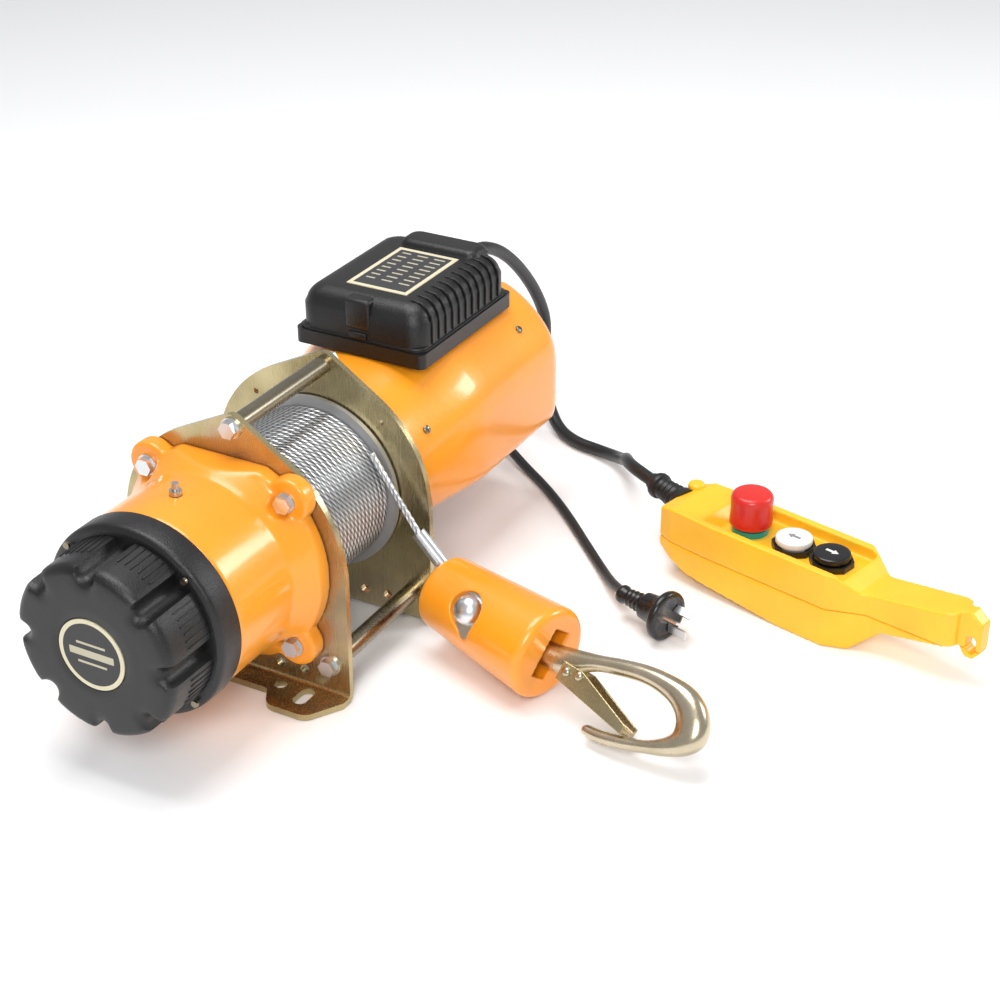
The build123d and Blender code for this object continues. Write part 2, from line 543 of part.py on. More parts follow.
def build_cords():
    cord_tube("pendant_cord", PENDANT_ROUTE, PENDANT_CORD_D)
    cord_tube("mains_cord", MAINS_ROUTE, MAINS_CORD_D)
    glands = []
    for (x, y, z), d in ((PENDANT_EXIT, PENDANT_CORD_D), (MAINS_EXIT, MAINS_CORD_D)):
        gland = x_cyl(d / 2 + 2.5, GLAND_X, GLAND_X + 8, y, z)
        cone = Pos(GLAND_X + 15, y, z) * Rot(0, 90, 0) * Cone(d / 2 + 2, d / 2 + 0.8, 14)
        glands.append(gland + cone)
    node("cord_glands", gather(glands))
    place = along(PLUG_AT, PLUG_AIM)
    body = Cylinder(PLUG_R, 7)
    body += Pos(0, 0, -12) * Cylinder(11, 18)
    body += Pos(0, 0, -30) * Cylinder(8, 20)
    node("plug_body", place * (body & Pos(0, 0, -20) * Box(60, 60, 54)))
    pins = []
    for angle, length in ((0, 17), (120, 16), (240, 16)):
        blade = Pos(0, 9, 3.5 + length / 2) * Box(1.8, 6.5, length)
        pins.append(place * (Rot(0, 0, angle) * blade))
    node("plug_pins", gather(pins))


# ---- hook and its cover ----
def hook_place():
    """Frame at the pin: z along the hook, x across it towards the floor, y along the pin."""
    aim = Vector(*HOOK_AIM).normalized()
    side = Vector(-cos(radians(TILT)), 0, -sin(radians(TILT)))
    side = (side - aim * side.dot(aim)).normalized()
    return Plane(origin=PIN_AT, x_dir=side, z_dir=aim)


# outline of the hook in its own plane: across it towards the tip, and along it from the pin
HOOK_OUTSIDE = [(-7, 60), (-18, 99), (-29.5, 138), (-32, 170), (-27, 191), (-17, 202), (-2, 205),
                (11.5, 195), (24, 165), (34, 133)]
HOOK_INSIDE = [(28.5, 119), (24, 146), (16, 168), (1, 183), (-11, 179), (-17.5, 163), (-17.5, 138),
               (-9, 106), (7, 78)]
TIP = [(34, 133), (34, 119), (28.5, 119)]
LATCH_AT = (3.0, 88.0)
LATCH_TIP = (17.0, 150.0)


def hook_outline():
    w = SHANK_W / 2
    outside = Spline(*HOOK_OUTSIDE, tangents=[(0, 1), (0, -1)])
    inside = Spline(*HOOK_INSIDE, tangents=[(-0.1, 1), (0.2, -1)])
    shank = Polyline((w, 78), (w, 0), (-w, 0), (-w, 60))
    tip = Polyline(*TIP)
    shape = make_face(outside.edges() + tip.edges() + inside.edges() + shank.edges())
    return shape + Circle(EYE_R) - Circle(HOOK_PIN_R + RUN_FIT)


def latch_outline():
    """Latch seen from the side: wide at its pivot, narrow where it bears on the hook's tip."""
    x, y = LATCH_AT
    return make_face(Polyline([(x - 6, y - 6), (x + 8, y - 6), (LATCH_TIP[0] + 4, LATCH_TIP[1]),
                               (LATCH_TIP[0] - 3, LATCH_TIP[1] + 1), (x - 6, y + 12)], close=True))


def pocket(radius, depth):
    """Drop-shaped plug across the cover, round at the pin and pointed towards the floor."""
    drop = make_hull((Circle(radius) + Pos(POCKET_POINT) * Circle(radius / 4)).edges())
    return Rot(90, 0, 0) * extrude(drop, depth / 2, both=True)


def build_hook():
    plane = hook_place()
    flat = Plane(origin=plane.origin, x_dir=plane.x_dir, z_dir=plane.x_dir.cross(plane.z_dir))
    blank = extrude(hook_outline(), HOOK_T / 2, both=True)
    rivet_hole = Pos(LATCH_AT[0], LATCH_AT[1], 0) * Cylinder(2.5 + RUN_FIT, 3 * HOOK_T)
    node("hook", flat.location * (blank - rivet_hole))
    cheek = extrude(latch_outline(), HOOK_T / 2 + 2, both=True)
    core = extrude(offset(latch_outline(), 3), HOOK_T / 2 + BODY_GAP, both=True)
    spine = extrude(make_face(Polyline([(LATCH_AT[0] + 12, 112), (LATCH_TIP[0] + 4, LATCH_TIP[1]),
                                        (LATCH_TIP[0] + 1, LATCH_TIP[1]), (LATCH_AT[0] + 8, 112)],
                                       close=True)), HOOK_T / 2 + 2, both=True)
    rivet = Pos(LATCH_AT[0], LATCH_AT[1], 0) * Cylinder(2.5, HOOK_T + 5)
    node("hook_latch", flat.location * (cheek - core + spine + rivet))
    place = plane.location
    length = COVER_BACK + COVER_FORE
    cover = Pos(0, 0, (COVER_FORE - COVER_BACK) / 2) * Cone(COVER_R0, COVER_R1, length)
    cover = fillet(cover.edges().filter_by(GeomType.CIRCLE), COVER_ROUND)
    slot_half = EYE_R + 5
    cover -= Pos(0, 0, (COVER_FORE - slot_half) / 2 + 2) * Box(2 * slot_half, HOOK_T + 2.4,
                                                               COVER_FORE + slot_half + 4)
    cover -= Pos(0, 0, ROPE_MOUTH_DEPTH / 2 - COVER_BACK) * Cylinder(ROPE_MOUTH_R,
                                                                    ROPE_MOUTH_DEPTH + 2)
    cover -= Rot(90, 0, 0) * Cylinder(HOOK_PIN_R, 200)
    for side in (-1, 1):
        cover -= Pos(0, side * (POCKET_Y + 8), 0) * pocket(POCKET_R, 16)
    cover = place * cover - along(FERRULE_AT, FERRULE_AIM) * Cylinder(FERRULE_R + 1.5,
                                                                      2 * FERRULE_LENGTH + 3)
    node("hook_cover", cover)
    pin = Rot(90, 0, 0) * Cylinder(HOOK_PIN_R, 54)
    for side in (-1, 1):
        pin += Pos(0, side * (POCKET_Y + 0.8), 0) * pocket(POCKET_R - 0.6, 1.2)
        pin += Pos(0, side * (POCKET_Y + 1.4), 0) * (Sphere(PIN_HEAD_R)
                                                     & Pos(0, side * 8, 0) * Box(24, 16, 24))
    node("hook_pin", place * pin)


def build_rope_lead():
    """Stretch of rope from the drum to its ferrule, and the ferrule inside the hook cover."""
    leave_angle = radians(LEAVE_ANGLE)
    r = WINDING_R + ROPE_D / 2 + BODY_GAP
    leave = Vector(FERRULE_AT[0] + 0.5, r * cos(leave_angle), AXIS_Z + r * sin(leave_angle))
    end = Vector(*FERRULE_AT)
    run = end - leave
    lead = Pos(0, 0, run.length / 2) * Cylinder(ROPE_D / 2, run.length)
    node("rope_lead", along(tuple(leave), tuple(run)) * lead
         - along(FERRULE_AT, FERRULE_AIM) * Pos(0, 0, 20) * Cylinder(FERRULE_R, 40))
    ferrule = Pos(0, 0, FERRULE_LENGTH / 2) * Cylinder(FERRULE_R, FERRULE_LENGTH)
    node("rope_ferrule", along(FERRULE_AT, FERRULE_AIM) * ferrule)


# ---- pendant ----
def on_pendant(shape):
    return Pos(*PENDANT_AT) * Rot(0, 0, PENDANT_TURN) * shape


def pendant_side():
    """Side view of the pendant: along its length, and up."""
    a, b = PEN_START, PEN_END
    rise = (TAIL_END - b) * tan(radians(HANDLE_RISE))
    outline = [(a, 24), (a, PEN_TOP - 4), (a + 14, PEN_TOP), (b - 20, PEN_TOP), (b, 50),
               (TAIL_END - 10, 50 + rise), (TAIL_END, 42 + rise), (TAIL_END, 18 + rise),
               (TAIL_END - 5, 12 + rise), (TAIL_END - 12, 12 + rise), (TAIL_END - 18, 20 + rise),
               (b + 18, 22), (b - 6, 0), (b - 66, 0), (a + 30, 10)]
    return make_face(Polyline(outline, close=True))


def pendant_plan():
    """Plan of the pendant: along its length, and across."""
    a, b, h, t = PEN_START, PEN_END, PEN_HALF, TAIL_HALF
    upper = [(a, 25), (a + 14, h - 2), (a + 50, h), (b - 24, h), (b + 4, t), (TAIL_END - 24, t - 2),
             (TAIL_END - 18, t - 6), (TAIL_END - 17, TAB_HALF), (TAIL_END, TAB_HALF)]
    lower = [(x, -y) for x, y in reversed(upper)]
    return make_face(Polyline(upper + lower, close=True))


def build_pendant_parts():
    side = extrude(Plane.XZ * pendant_side(), 60, both=True)
    plan = extrude(pendant_plan(), 120)
    body = side & plan
    hollow = extrude(Plane.XZ * make_face(Polyline([
        (PEN_START + 4, 22), (PEN_START + 4, PEN_PANEL - 4), (PEN_END - 10, PEN_PANEL - 4),
        (PEN_END - 10, 6), (PEN_START + 36, 10)], close=True)), PEN_HALF - 5, both=True)
    hollow = hollow & extrude(offset(pendant_plan(), -4), 120)
    recess = extrude(Plane.XZ * make_face(Polyline([
        (RECESS_START - 12, PEN_TOP + 1), (RECESS_START, PEN_PANEL), (RECESS_END, PEN_PANEL),
        (RECESS_END + 6, PEN_TOP + 1)], close=True)), RECESS_HALF, both=True)
    body = body - hollow - recess
    places = (ESTOP_AT, WHITE_AT, BLACK_AT)
    for at in places:
        body -= z_cyl(12, PEN_PANEL - 6, PEN_TOP + 1, at)
    eye = SlotOverall(EYE_HEIGHT, EYE_W)
    body -= Pos(TAIL_END - 8, 0, EYE_Z) * Rot(90, 0, 0) * Rot(0, 0, 90) * extrude(eye, 40, both=True)
    top_half = body & block(0, 400, -60, 60, PEN_SPLIT, 120)
    low_half = body & block(0, 400, -60, 60, -10, PEN_SPLIT)
    node("pendant_front_shell", on_pendant(top_half))
    node("pendant_back_shell", on_pendant(low_half))
    start, end = Vector(*PENDANT_ROUTE[-1]), Vector(*BOOT_END)
    reach = (end - start).length
    boot = Pos(0, 0, reach / 2) * Cone(PENDANT_CORD_D / 2 + 1.5, BOOT_R, reach)
    boot += Pos(0, 0, reach * 0.25) * Cylinder(BOOT_R - 2, 5)
    boot = along(tuple(start), tuple(end - start)) * (boot + Pos(0, 0, reach - 1) * Cylinder(BOOT_R, 10))
    cord_end = along(PENDANT_ROUTE[-2], tuple(start - Vector(*PENDANT_ROUTE[-2])))
    cord_end *= Cylinder(PENDANT_CORD_D / 2 + 0.05, 60)
    node("pendant_boot", boot - on_pendant(body) - cord_end)
    bodies, heads = [], []
    for at in (WHITE_AT, BLACK_AT):
        case = z_cyl(11.9, PEN_PANEL - 22, PEN_PANEL, at)
        case += Pos(at, 0, PEN_PANEL) * extrude(RegularPolygon(17.5, 8, rotation=22.5), 5)
        case -= z_cyl(BUTTON_R - 4.5, PEN_PANEL - 18, PEN_PANEL + 6, at)
        case -= z_cyl(BUTTON_R + 0.4, PEN_PANEL + 1.0, PEN_PANEL + 6, at)
        bodies.append(on_pendant(case))
        stem = z_cyl(BUTTON_R - 5, PEN_PANEL - 12, PEN_PANEL + 6, at)
        heads.append(stem + z_cyl(BUTTON_R, PEN_PANEL + 1.5 + BUTTON_TRAVEL, PEN_PANEL + 11, at))
    node("button_bodies", gather(bodies))
    node("lower_button", on_pendant(heads[0]))
    node("raise_button", on_pendant(heads[1]))
    base = z_cyl(11.9, PEN_PANEL - 26, PEN_PANEL, ESTOP_AT) + z_cyl(ESTOP_R - 2.5, PEN_PANEL,
                                                                    PEN_PANEL + 5, ESTOP_AT)
    base -= z_cyl(8, PEN_PANEL - 22, PEN_PANEL + 8, ESTOP_AT)
    node("estop_base", on_pendant(base))
    head_z = PEN_PANEL + 5.5 + ESTOP_TRAVEL
    head = z_cyl(ESTOP_R, head_z, head_z + ESTOP_H, ESTOP_AT)
    head = fillet(head.edges().sort_by(Axis.Z)[-1:], 5)
    neck_z = head_z + ESTOP_H / 2
    node("estop_head", on_pendant(head - z_cyl(STEM_R - 2.5 + RUN_FIT, head_z - 1, neck_z + 0.3,
                                               ESTOP_AT)))
    stem = z_cyl(STEM_R, PEN_PANEL - 12, head_z - 0.3, ESTOP_AT)
    stem += z_cyl(STEM_R - 2.5, head_z - 1, neck_z, ESTOP_AT)
    node("estop_stem", on_pendant(stem))


build_frame()
build_drum()
build_gears()
build_housing()
build_box(build_motor())
build_cords()
build_hook()
build_rope_lead()
build_pendant_parts()

os.makedirs("parts", exist_ok=True)
for name, shape in NODES.items():
    export_step(shape, f"parts/{name}.step")
    print(name, len(shape.solids()), round(shape.volume))
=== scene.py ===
# %% [markdown]
# # An electric wire rope winch
#
# A rope drum turns between two bent steel plates. An orange gearbox with a black brake cover
# hangs on one plate, and an orange motor with a black control box hangs on the other. The rope
# ends in an orange cover with a hook, and a yellow pendant hangs on its own cord.
# The CAD model gives the frame, and this lesson adds the shapes and the finishes that the eye sees.

# %% Tools and the frame
import json
import math

import bmesh
import bpy
from mathutils import Matrix, Vector

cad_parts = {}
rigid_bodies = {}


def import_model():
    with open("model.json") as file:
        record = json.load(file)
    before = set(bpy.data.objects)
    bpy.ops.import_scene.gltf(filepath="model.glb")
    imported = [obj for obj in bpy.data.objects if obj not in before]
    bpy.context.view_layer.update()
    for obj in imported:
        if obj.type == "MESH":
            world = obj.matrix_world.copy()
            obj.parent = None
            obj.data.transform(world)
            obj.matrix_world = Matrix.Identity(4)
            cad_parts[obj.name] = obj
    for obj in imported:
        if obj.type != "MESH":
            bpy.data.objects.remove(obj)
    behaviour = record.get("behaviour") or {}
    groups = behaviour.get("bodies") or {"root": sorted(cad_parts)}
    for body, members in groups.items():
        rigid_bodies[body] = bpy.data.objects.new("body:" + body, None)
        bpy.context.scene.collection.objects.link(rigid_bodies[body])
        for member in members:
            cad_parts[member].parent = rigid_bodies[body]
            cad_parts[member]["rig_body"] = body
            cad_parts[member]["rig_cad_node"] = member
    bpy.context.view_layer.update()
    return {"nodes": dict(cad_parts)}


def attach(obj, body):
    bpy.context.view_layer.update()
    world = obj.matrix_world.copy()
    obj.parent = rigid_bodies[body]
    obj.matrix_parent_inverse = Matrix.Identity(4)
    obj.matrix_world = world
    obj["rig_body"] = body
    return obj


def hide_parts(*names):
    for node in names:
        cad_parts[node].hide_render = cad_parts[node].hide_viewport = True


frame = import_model()
nodes = frame["nodes"]
MM = 0.001
AXIS_Z = 105.5
print("CAD nodes loaded:", len(nodes))

# %% [markdown]
# ## The camera
#
# The camera comes before the modelling, because a cord may only be laid where the camera and the
# shelf have room for it. A long lens far away keeps the drum and the motor in true proportion.

# %% Camera
aim_point = Vector((0.09579, -0.13458, 0.10272))
backwards = Vector((-0.7658, -0.4172, 0.4894)).normalized()
bpy.ops.object.camera_add(location=aim_point + backwards * 1.50973)
camera = bpy.context.object
camera.rotation_euler = backwards.to_track_quat("Z", "Y").to_euler()
camera.data.sensor_width = 36.0
camera.data.lens = 71.906
bpy.context.scene.camera = camera
bpy.context.scene.view_settings.view_transform = "Standard"
print("camera at", [round(value, 3) for value in camera.location])

# %% [markdown]
# ## The two cords
#
# Both cords leave the back of the control box side by side, drop behind the motor and run forward
# on the floor. A cord is a thick line, so a curve with a round bevel is the natural way: the few
# points steer it as a hand would, and the spline keeps every bend round.

# %% Cords
PENDANT_ROUTE = [(276.5, 2, 206), (304, 2, 206), (335, 2, 195), (363, 1, 176), (390, 0, 150),
                 (412.1, -1, 122.1), (427.7, -1, 94.8), (430.3, 0.3, 65.8), (422.1, -4.2, 38.4),
                 (406.6, -16.4, 17.4), (388.8, -36, 6.1), (373.9, -60.6, 5.6), (369.8, -86.2, 5.8),
                 (359.7, -106.8, 9.7), (344.1, -123.1, 17.9), (325, -134, 30),
                 (305.8, -142.1, 41.7), (287.9, -153.5, 48.3), (274.2, -168.5, 51.3),
                 (264.7, -186.6, 50.8)]
MAINS_ROUTE = [(276.5, 32, 206), (298, 32, 206), (323.1, 32.7, 194.3), (341.8, 34, 165.8),
               (347, 34, 126), (350, 31, 84), (348.1, 22.2, 44), (339.8, 1.8, 14.2),
               (316.3, -37.8, 4.1), (287.7, -76.3, 4.1), (255.7, -112.1, 4.1),
               (221.4, -145.7, 4.1), (186.9, -179.1, 5), (162, -200, 11), (146, -216, 18)]


def lay_cord(name, route, diameter):
    """Round cord on a smooth spline steered by the route's points."""
    line = bpy.data.curves.new(name, "CURVE")
    line.dimensions = "3D"
    spline = line.splines.new("NURBS")
    spline.points.add(len(route) - 1)
    for point, (x, y, z) in zip(spline.points, route):
        point.co = (x * MM, y * MM, z * MM, 1.0)
        point.radius = diameter * MM / 2
    spline.order_u = 3
    spline.use_endpoint_u = True
    line.resolution_u = 10
    line.bevel_depth = 1.0
    line.bevel_resolution = 5
    line.use_fill_caps = True
    cord = bpy.data.objects.new(name, line)
    bpy.context.scene.collection.objects.link(cord)
    return cord


def spline_length(cord):
    """Length of the cord's own line, read from the curve as the eye sees it."""
    thickness = cord.data.bevel_depth
    cord.data.bevel_depth = 0.0
    bpy.context.view_layer.update()
    line = bpy.data.meshes.new_from_object(cord.evaluated_get(
        bpy.context.evaluated_depsgraph_get()))
    length = sum((line.vertices[b].co - line.vertices[a].co).length
                 for a, b in (edge.vertices for edge in line.edges))
    bpy.data.meshes.remove(line)
    cord.data.bevel_depth = thickness
    return length


pendant_lead = lay_cord("pendant_lead", PENDANT_ROUTE, 11.0)
mains_lead = lay_cord("mains_lead", MAINS_ROUTE, 8.0)
print("pendant lead", round(spline_length(pendant_lead), 4),
      "mains lead", round(spline_length(mains_lead), 4))

# %% [markdown]
# ## The studio
#
# The winch stands on a pale floor before a pale background. Large soft lamps give the broad
# highlights that glossy castings need: one from the left, one overhead, one from the right.

# %% Floor and lamps
def deselect():
    """Leave nothing selected, because an operator acts on everything that is."""
    bpy.ops.object.select_all(action="DESELECT")


deselect()
bpy.ops.mesh.primitive_plane_add(size=12.0, location=(0.1, 0.0, -0.0004))
floor = bpy.context.object
floor.name = "floor"


def lamp(name, place, size, power):
    """Square soft lamp that looks at the winch."""
    bpy.ops.object.light_add(type="AREA", location=place)
    light = bpy.context.object
    light.name = name
    light.data.size = size
    light.data.energy = power
    light.rotation_euler = (Vector(place) - aim_point).to_track_quat("Z", "Y").to_euler()


lamp("lamp_left", (-1.5, -0.9, 1.4), 0.7, 22.0)
lamp("lamp_top", (0.1, 0.2, 2.1), 1.3, 34.0)
lamp("lamp_right", (1.4, -1.7, 1.1), 0.6, 15.0)
world = bpy.data.worlds.new("studio")
bpy.context.scene.world = world
world.use_nodes = True
world.node_tree.nodes["Background"].inputs["Color"].default_value = (0.96, 0.97, 1.0, 1.0)
world.node_tree.nodes["Background"].inputs["Strength"].default_value = 0.50
print("studio ready")

# %% [markdown]
# ## A language for finishes
#
# A finish is a sum: a base colour, plus some spots, plus some roughness that varies over the surface.
# Wiring such a sum by hand hides it, so a small class turns + - and * into the nodes that do them.

# %% Fields
class Field:
    """A number or a colour that differs from point to point of a surface."""

    tree = None

    def __init__(self, socket):
        self.socket = socket

    @classmethod
    def node(cls, kind, output=0, settings=None, **inputs):
        """One shader node: the settings are its own, and the inputs are numbers or fields."""
        made = cls.tree.nodes.new(kind)
        for key, value in (settings or {}).items():
            setattr(made, key, value)
        for key, value in inputs.items():
            plug = made.inputs[int(key[1:])] if key[1:].isdigit() else made.inputs[
                key.replace("_", " ")]
            if isinstance(value, Field):
                cls.tree.links.new(value.socket, plug)
            else:
                plug.default_value = value
        return cls(made.outputs[output])

    @classmethod
    def math(cls, operation, first, second=0.0, clamp=False):
        return cls.node("ShaderNodeMath", 0, {"operation": operation, "use_clamp": clamp},
                        i0=first, i1=second)

    def __add__(self, other):
        return Field.math("ADD", self, other)

    __radd__ = __add__

    def __mul__(self, other):
        return Field.math("MULTIPLY", self, other)

    __rmul__ = __mul__

    def __sub__(self, other):
        return Field.math("SUBTRACT", self, other)

    def __rsub__(self, other):
        return Field.math("SUBTRACT", other, self)

    def __truediv__(self, other):
        return Field.math("DIVIDE", self, other)

    def __gt__(self, other):
        return Field.math("GREATER_THAN", self, other)

    def __lt__(self, other):
        return Field.math("LESS_THAN", self, other)

    def __abs__(self):
        return Field.math("ABSOLUTE", self)

    def __pow__(self, other):
        return Field.math("POWER", self, other)

    def between(self, low, high):
        """0 below low, 1 above high, and a straight climb in between."""
        return Field.math("DIVIDE", self - low, high - low, clamp=True)


def place_field():
    return Field.node("ShaderNodeTexCoord", "Object")


def x_y_z():
    """The three distances of a point from the winch's origin."""
    place = place_field()
    return [Field.node("ShaderNodeSeparateXYZ", axis, Vector=place) for axis in "XYZ"]


def cloud(scale, detail=2.0, stretch=(1.0, 1.0, 1.0)):
    """Cloudy pattern from 0 to 1, with about scale patches in a metre."""
    place = Field.node("ShaderNodeMapping", 0, Vector=place_field(), Scale=stretch)
    return Field.node("ShaderNodeTexNoise", 0, Vector=place, Scale=scale, Detail=detail)


def mix(low, high, how_much):
    """Colour that goes from low to high."""
    return Field.node("ShaderNodeMix", 2, {"data_type": "RGBA"}, i0=how_much,
                      i6=low if isinstance(low, Field) else (*low, 1.0),
                      i7=high if isinstance(high, Field) else (*high, 1.0))


finishes = {}


def finish(name, build):
    """Material whose sockets come from the dictionary that build returns."""
    material = bpy.data.materials.new(name)
    material.use_nodes = True
    Field.tree = material.node_tree
    shader = material.node_tree.nodes["Principled BSDF"]
    sockets = build()
    relief = sockets.pop("relief", None)
    if relief:
        height, depth = relief
        bump = Field.node("ShaderNodeBump", 0, Height=height, Strength=1.0, Distance=depth)
        material.node_tree.links.new(bump.socket, shader.inputs["Normal"])
    for key, value in sockets.items():
        if isinstance(value, Field):
            material.node_tree.links.new(value.socket, shader.inputs[key])
        elif isinstance(value, tuple):
            shader.inputs[key].default_value = (*value, 1.0)
        else:
            shader.inputs[key].default_value = value
    finishes[name] = material
    return material


def coat(piece, name):
    """Give the whole piece one finish."""
    piece.data.materials.clear()
    piece.data.materials.append(finishes[name])
    if hasattr(piece.data, "polygons"):
        for face in piece.data.polygons:
            face.material_index = 0


# %% [markdown]
# ## Paint and plating
#
# The castings carry thick orange stoving enamel: a clear top coat over an even colour, with the
# faint orange peel of spray paint. The plates and the hook are zinc plated and then passivated,
# which leaves a thin film that shines olive, gold and a little pink.

# %% Enamel and zinc
def orange_enamel():
    broad, peel = cloud(9.0), cloud(260.0, 1.0)
    return {"Base Color": mix((0.93, 0.335, 0.012), (0.84, 0.265, 0.008), broad.between(0.3, 0.8)),
            "Roughness": 0.26 + 0.12 * cloud(40.0), "Coat Weight": 0.5, "Coat Roughness": 0.12,
            "relief": (peel + 0.6 * cloud(90.0), 0.00012)}


def gold_zinc():
    film, streaks = cloud(16.0, 3.0), cloud(700.0, 2.0, (1.0, 1.0, 0.06))
    olive_to_gold = mix((0.33, 0.275, 0.14), (0.58, 0.49, 0.28), film.between(0.32, 0.66))
    tint = mix(olive_to_gold, (0.42, 0.34, 0.28), cloud(23.0, 2.0).between(0.52, 0.75) * 0.6)
    return {"Base Color": tint, "Metallic": 0.92, "Roughness": 0.19 + 0.14 * streaks,
            "relief": (streaks + cloud(320.0), 0.00006)}


def bright_zinc():
    return {"Base Color": mix((0.66, 0.67, 0.69), (0.78, 0.79, 0.80), cloud(60.0)),
            "Metallic": 1.0, "Roughness": 0.24 + 0.18 * cloud(210.0),
            "relief": (cloud(900.0), 0.00002)}


def turned_steel():
    x, _, _ = x_y_z()
    marks = Field.math("SINE", x * 9000.0) * 0.5 + 0.5
    return {"Base Color": mix((0.42, 0.42, 0.43), (0.56, 0.56, 0.57), cloud(30.0)),
            "Metallic": 1.0, "Roughness": 0.28 + 0.14 * marks, "relief": (marks, 0.00001)}


def cast_aluminium():
    return {"Base Color": mix((0.47, 0.47, 0.48), (0.60, 0.60, 0.61), cloud(45.0, 3.0)),
            "Metallic": 0.85, "Roughness": 0.42 + 0.2 * cloud(160.0),
            "relief": (cloud(520.0, 3.0), 0.0001)}


finish("orange_enamel", orange_enamel)
finish("gold_zinc", gold_zinc)
finish("bright_zinc", bright_zinc)
finish("turned_steel", turned_steel)
finish("forged_zinc", lambda: {"Base Color": mix((0.47, 0.41, 0.28), (0.66, 0.57, 0.43),
                                                 cloud(22.0, 3.0).between(0.3, 0.7)),
                               "Metallic": 1.0, "Roughness": 0.20 + 0.12 * cloud(120.0),
                               "relief": (cloud(260.0), 0.00005)})
finish("dark_steel", lambda: {"Base Color": mix((0.23, 0.20, 0.145), (0.34, 0.30, 0.22),
                                                cloud(35.0, 3.0)),
                              "Metallic": 1.0, "Roughness": 0.20 + 0.16 * cloud(240.0)})
finish("cast_aluminium", cast_aluminium)
print("metal finishes:", ", ".join(finishes))

# %% [markdown]
# ## Plastics and rubber
#
# The covers are moulded in black plastic with a sparkling spark-eroded grain. The pendant is
# smoother and a little glossy. Cord sheaths are rubber: dull, with a faint grain.

# %% Plastics
def moulded(colour, deeper, roughness, grain, depth):
    """Moulded plastic: nearly one colour, with a grain that catches the light."""
    def build():
        fine = cloud(grain, 2.0)
        return {"Base Color": mix(colour, deeper, cloud(25.0, 3.0).between(0.35, 0.75)),
                "Roughness": roughness + 0.12 * fine, "relief": (fine, depth)}
    return build


finish("grained_black", moulded((0.0045, 0.0040, 0.0042), (0.009, 0.0082, 0.0085), 0.30, 1100.0,
                                0.00030))
finish("pendant_yellow", moulded((0.97, 0.53, 0.022), (0.92, 0.47, 0.018), 0.28, 700.0, 0.00004))
finish("button_red", moulded((0.66, 0.024, 0.018), (0.56, 0.018, 0.013), 0.24, 600.0, 0.00003))
finish("ring_teal", moulded((0.0, 0.31, 0.26), (0.0, 0.26, 0.22), 0.30, 600.0, 0.00003))
finish("button_white", moulded((0.80, 0.80, 0.78), (0.72, 0.72, 0.70), 0.28, 600.0, 0.00003))
finish("button_black", moulded((0.006, 0.006, 0.0065), (0.010, 0.010, 0.011), 0.20, 600.0, 0.00003))
finish("mark_grey", moulded((0.24, 0.25, 0.26), (0.20, 0.21, 0.22), 0.40, 600.0, 0.00002))
finish("rubber", moulded((0.006, 0.006, 0.0062), (0.011, 0.011, 0.0115), 0.36, 420.0, 0.00006))
finish("bronze", lambda: {"Base Color": mix((0.55, 0.33, 0.12), (0.66, 0.43, 0.18), cloud(50.0)),
                          "Metallic": 1.0, "Roughness": 0.3 + 0.15 * cloud(300.0)})
# black paint for the brake magnet and the motor frame; the same finish is painted shade in the screw
# recesses
finish("black_paint", moulded((0.006, 0.006, 0.0065), (0.010, 0.010, 0.010), 0.30, 300.0, 0.00005))
finish("floor_paper", lambda: {"Base Color": mix((0.94, 0.94, 0.94), (0.92, 0.92, 0.92), cloud(4.0)),
                               "Roughness": 0.85})
coat(floor, "floor_paper")


def stacked_sheet():
    """Rotor and stator cores are hundreds of thin sheets, seen as fine lines across the axis."""
    x, _, _ = x_y_z()
    lines = Field.math("SINE", x * 6280.0) * 0.5 + 0.5
    return {"Base Color": mix((0.20, 0.20, 0.21), (0.36, 0.36, 0.37), lines), "Metallic": 1.0,
            "Roughness": 0.4 + 0.1 * cloud(200.0), "relief": (lines, 0.00003)}


finish("stacked_sheet", stacked_sheet)
print("finishes so far:", len(finishes))

# %% [markdown]
# ## Labels
#
# The rating plate and the round badge are printed sheets. Their rows and rings are plain blocks
# with no words, worked out from the distance to the plate's middle.

# %% Printed sheets
def stripes(value, pitch, share):
    """1 on a stripe and 0 between stripes."""
    return Field.math("FRACT", value / pitch) < share


def rating_plate():
    x, y, _ = x_y_z()
    across, up = abs(x - 0.179), y + 0.003
    inside = (across < 0.0365) * (abs(up) < 0.0235)
    rows = stripes(x - 0.100, 0.0078, 0.26)
    columns = stripes(y + 0.1, 0.0155, 0.62)
    band = (across < 0.033) * (abs(up) < 0.0195) * (x > 0.150)
    return {"Base Color": mix(mix((0.66, 0.60, 0.42), (0.022, 0.021, 0.022), inside),
                              (0.46, 0.42, 0.31), rows * columns * band * inside),
            "Roughness": 0.32 + 0.1 * cloud(400.0), "Coat Weight": 0.3,
            "relief": (inside + 0.4 * rows * band, 0.00004)}


def round_badge():
    _, y, z = x_y_z()
    radius = Field.math("SQRT", y * y + (z - AXIS_Z * MM) * (z - AXIS_Z * MM))
    rim, field = radius > 0.0238, radius < 0.0185
    bar = (abs(z - AXIS_Z * MM) < 0.0028) * field
    fine_bar = (abs(abs(z - AXIS_Z * MM) - 0.0075) < 0.0009) * (abs(y) < 0.012)
    cream_or_dark = mix((0.022, 0.021, 0.022), (0.66, 0.60, 0.42), rim)
    return {"Base Color": mix(cream_or_dark, (0.50, 0.46, 0.33), bar + fine_bar),
            "Roughness": 0.35 + 0.1 * cloud(500.0), "relief": (rim + field, 0.00005)}


finish("rating_plate", rating_plate)
finish("round_badge", round_badge)

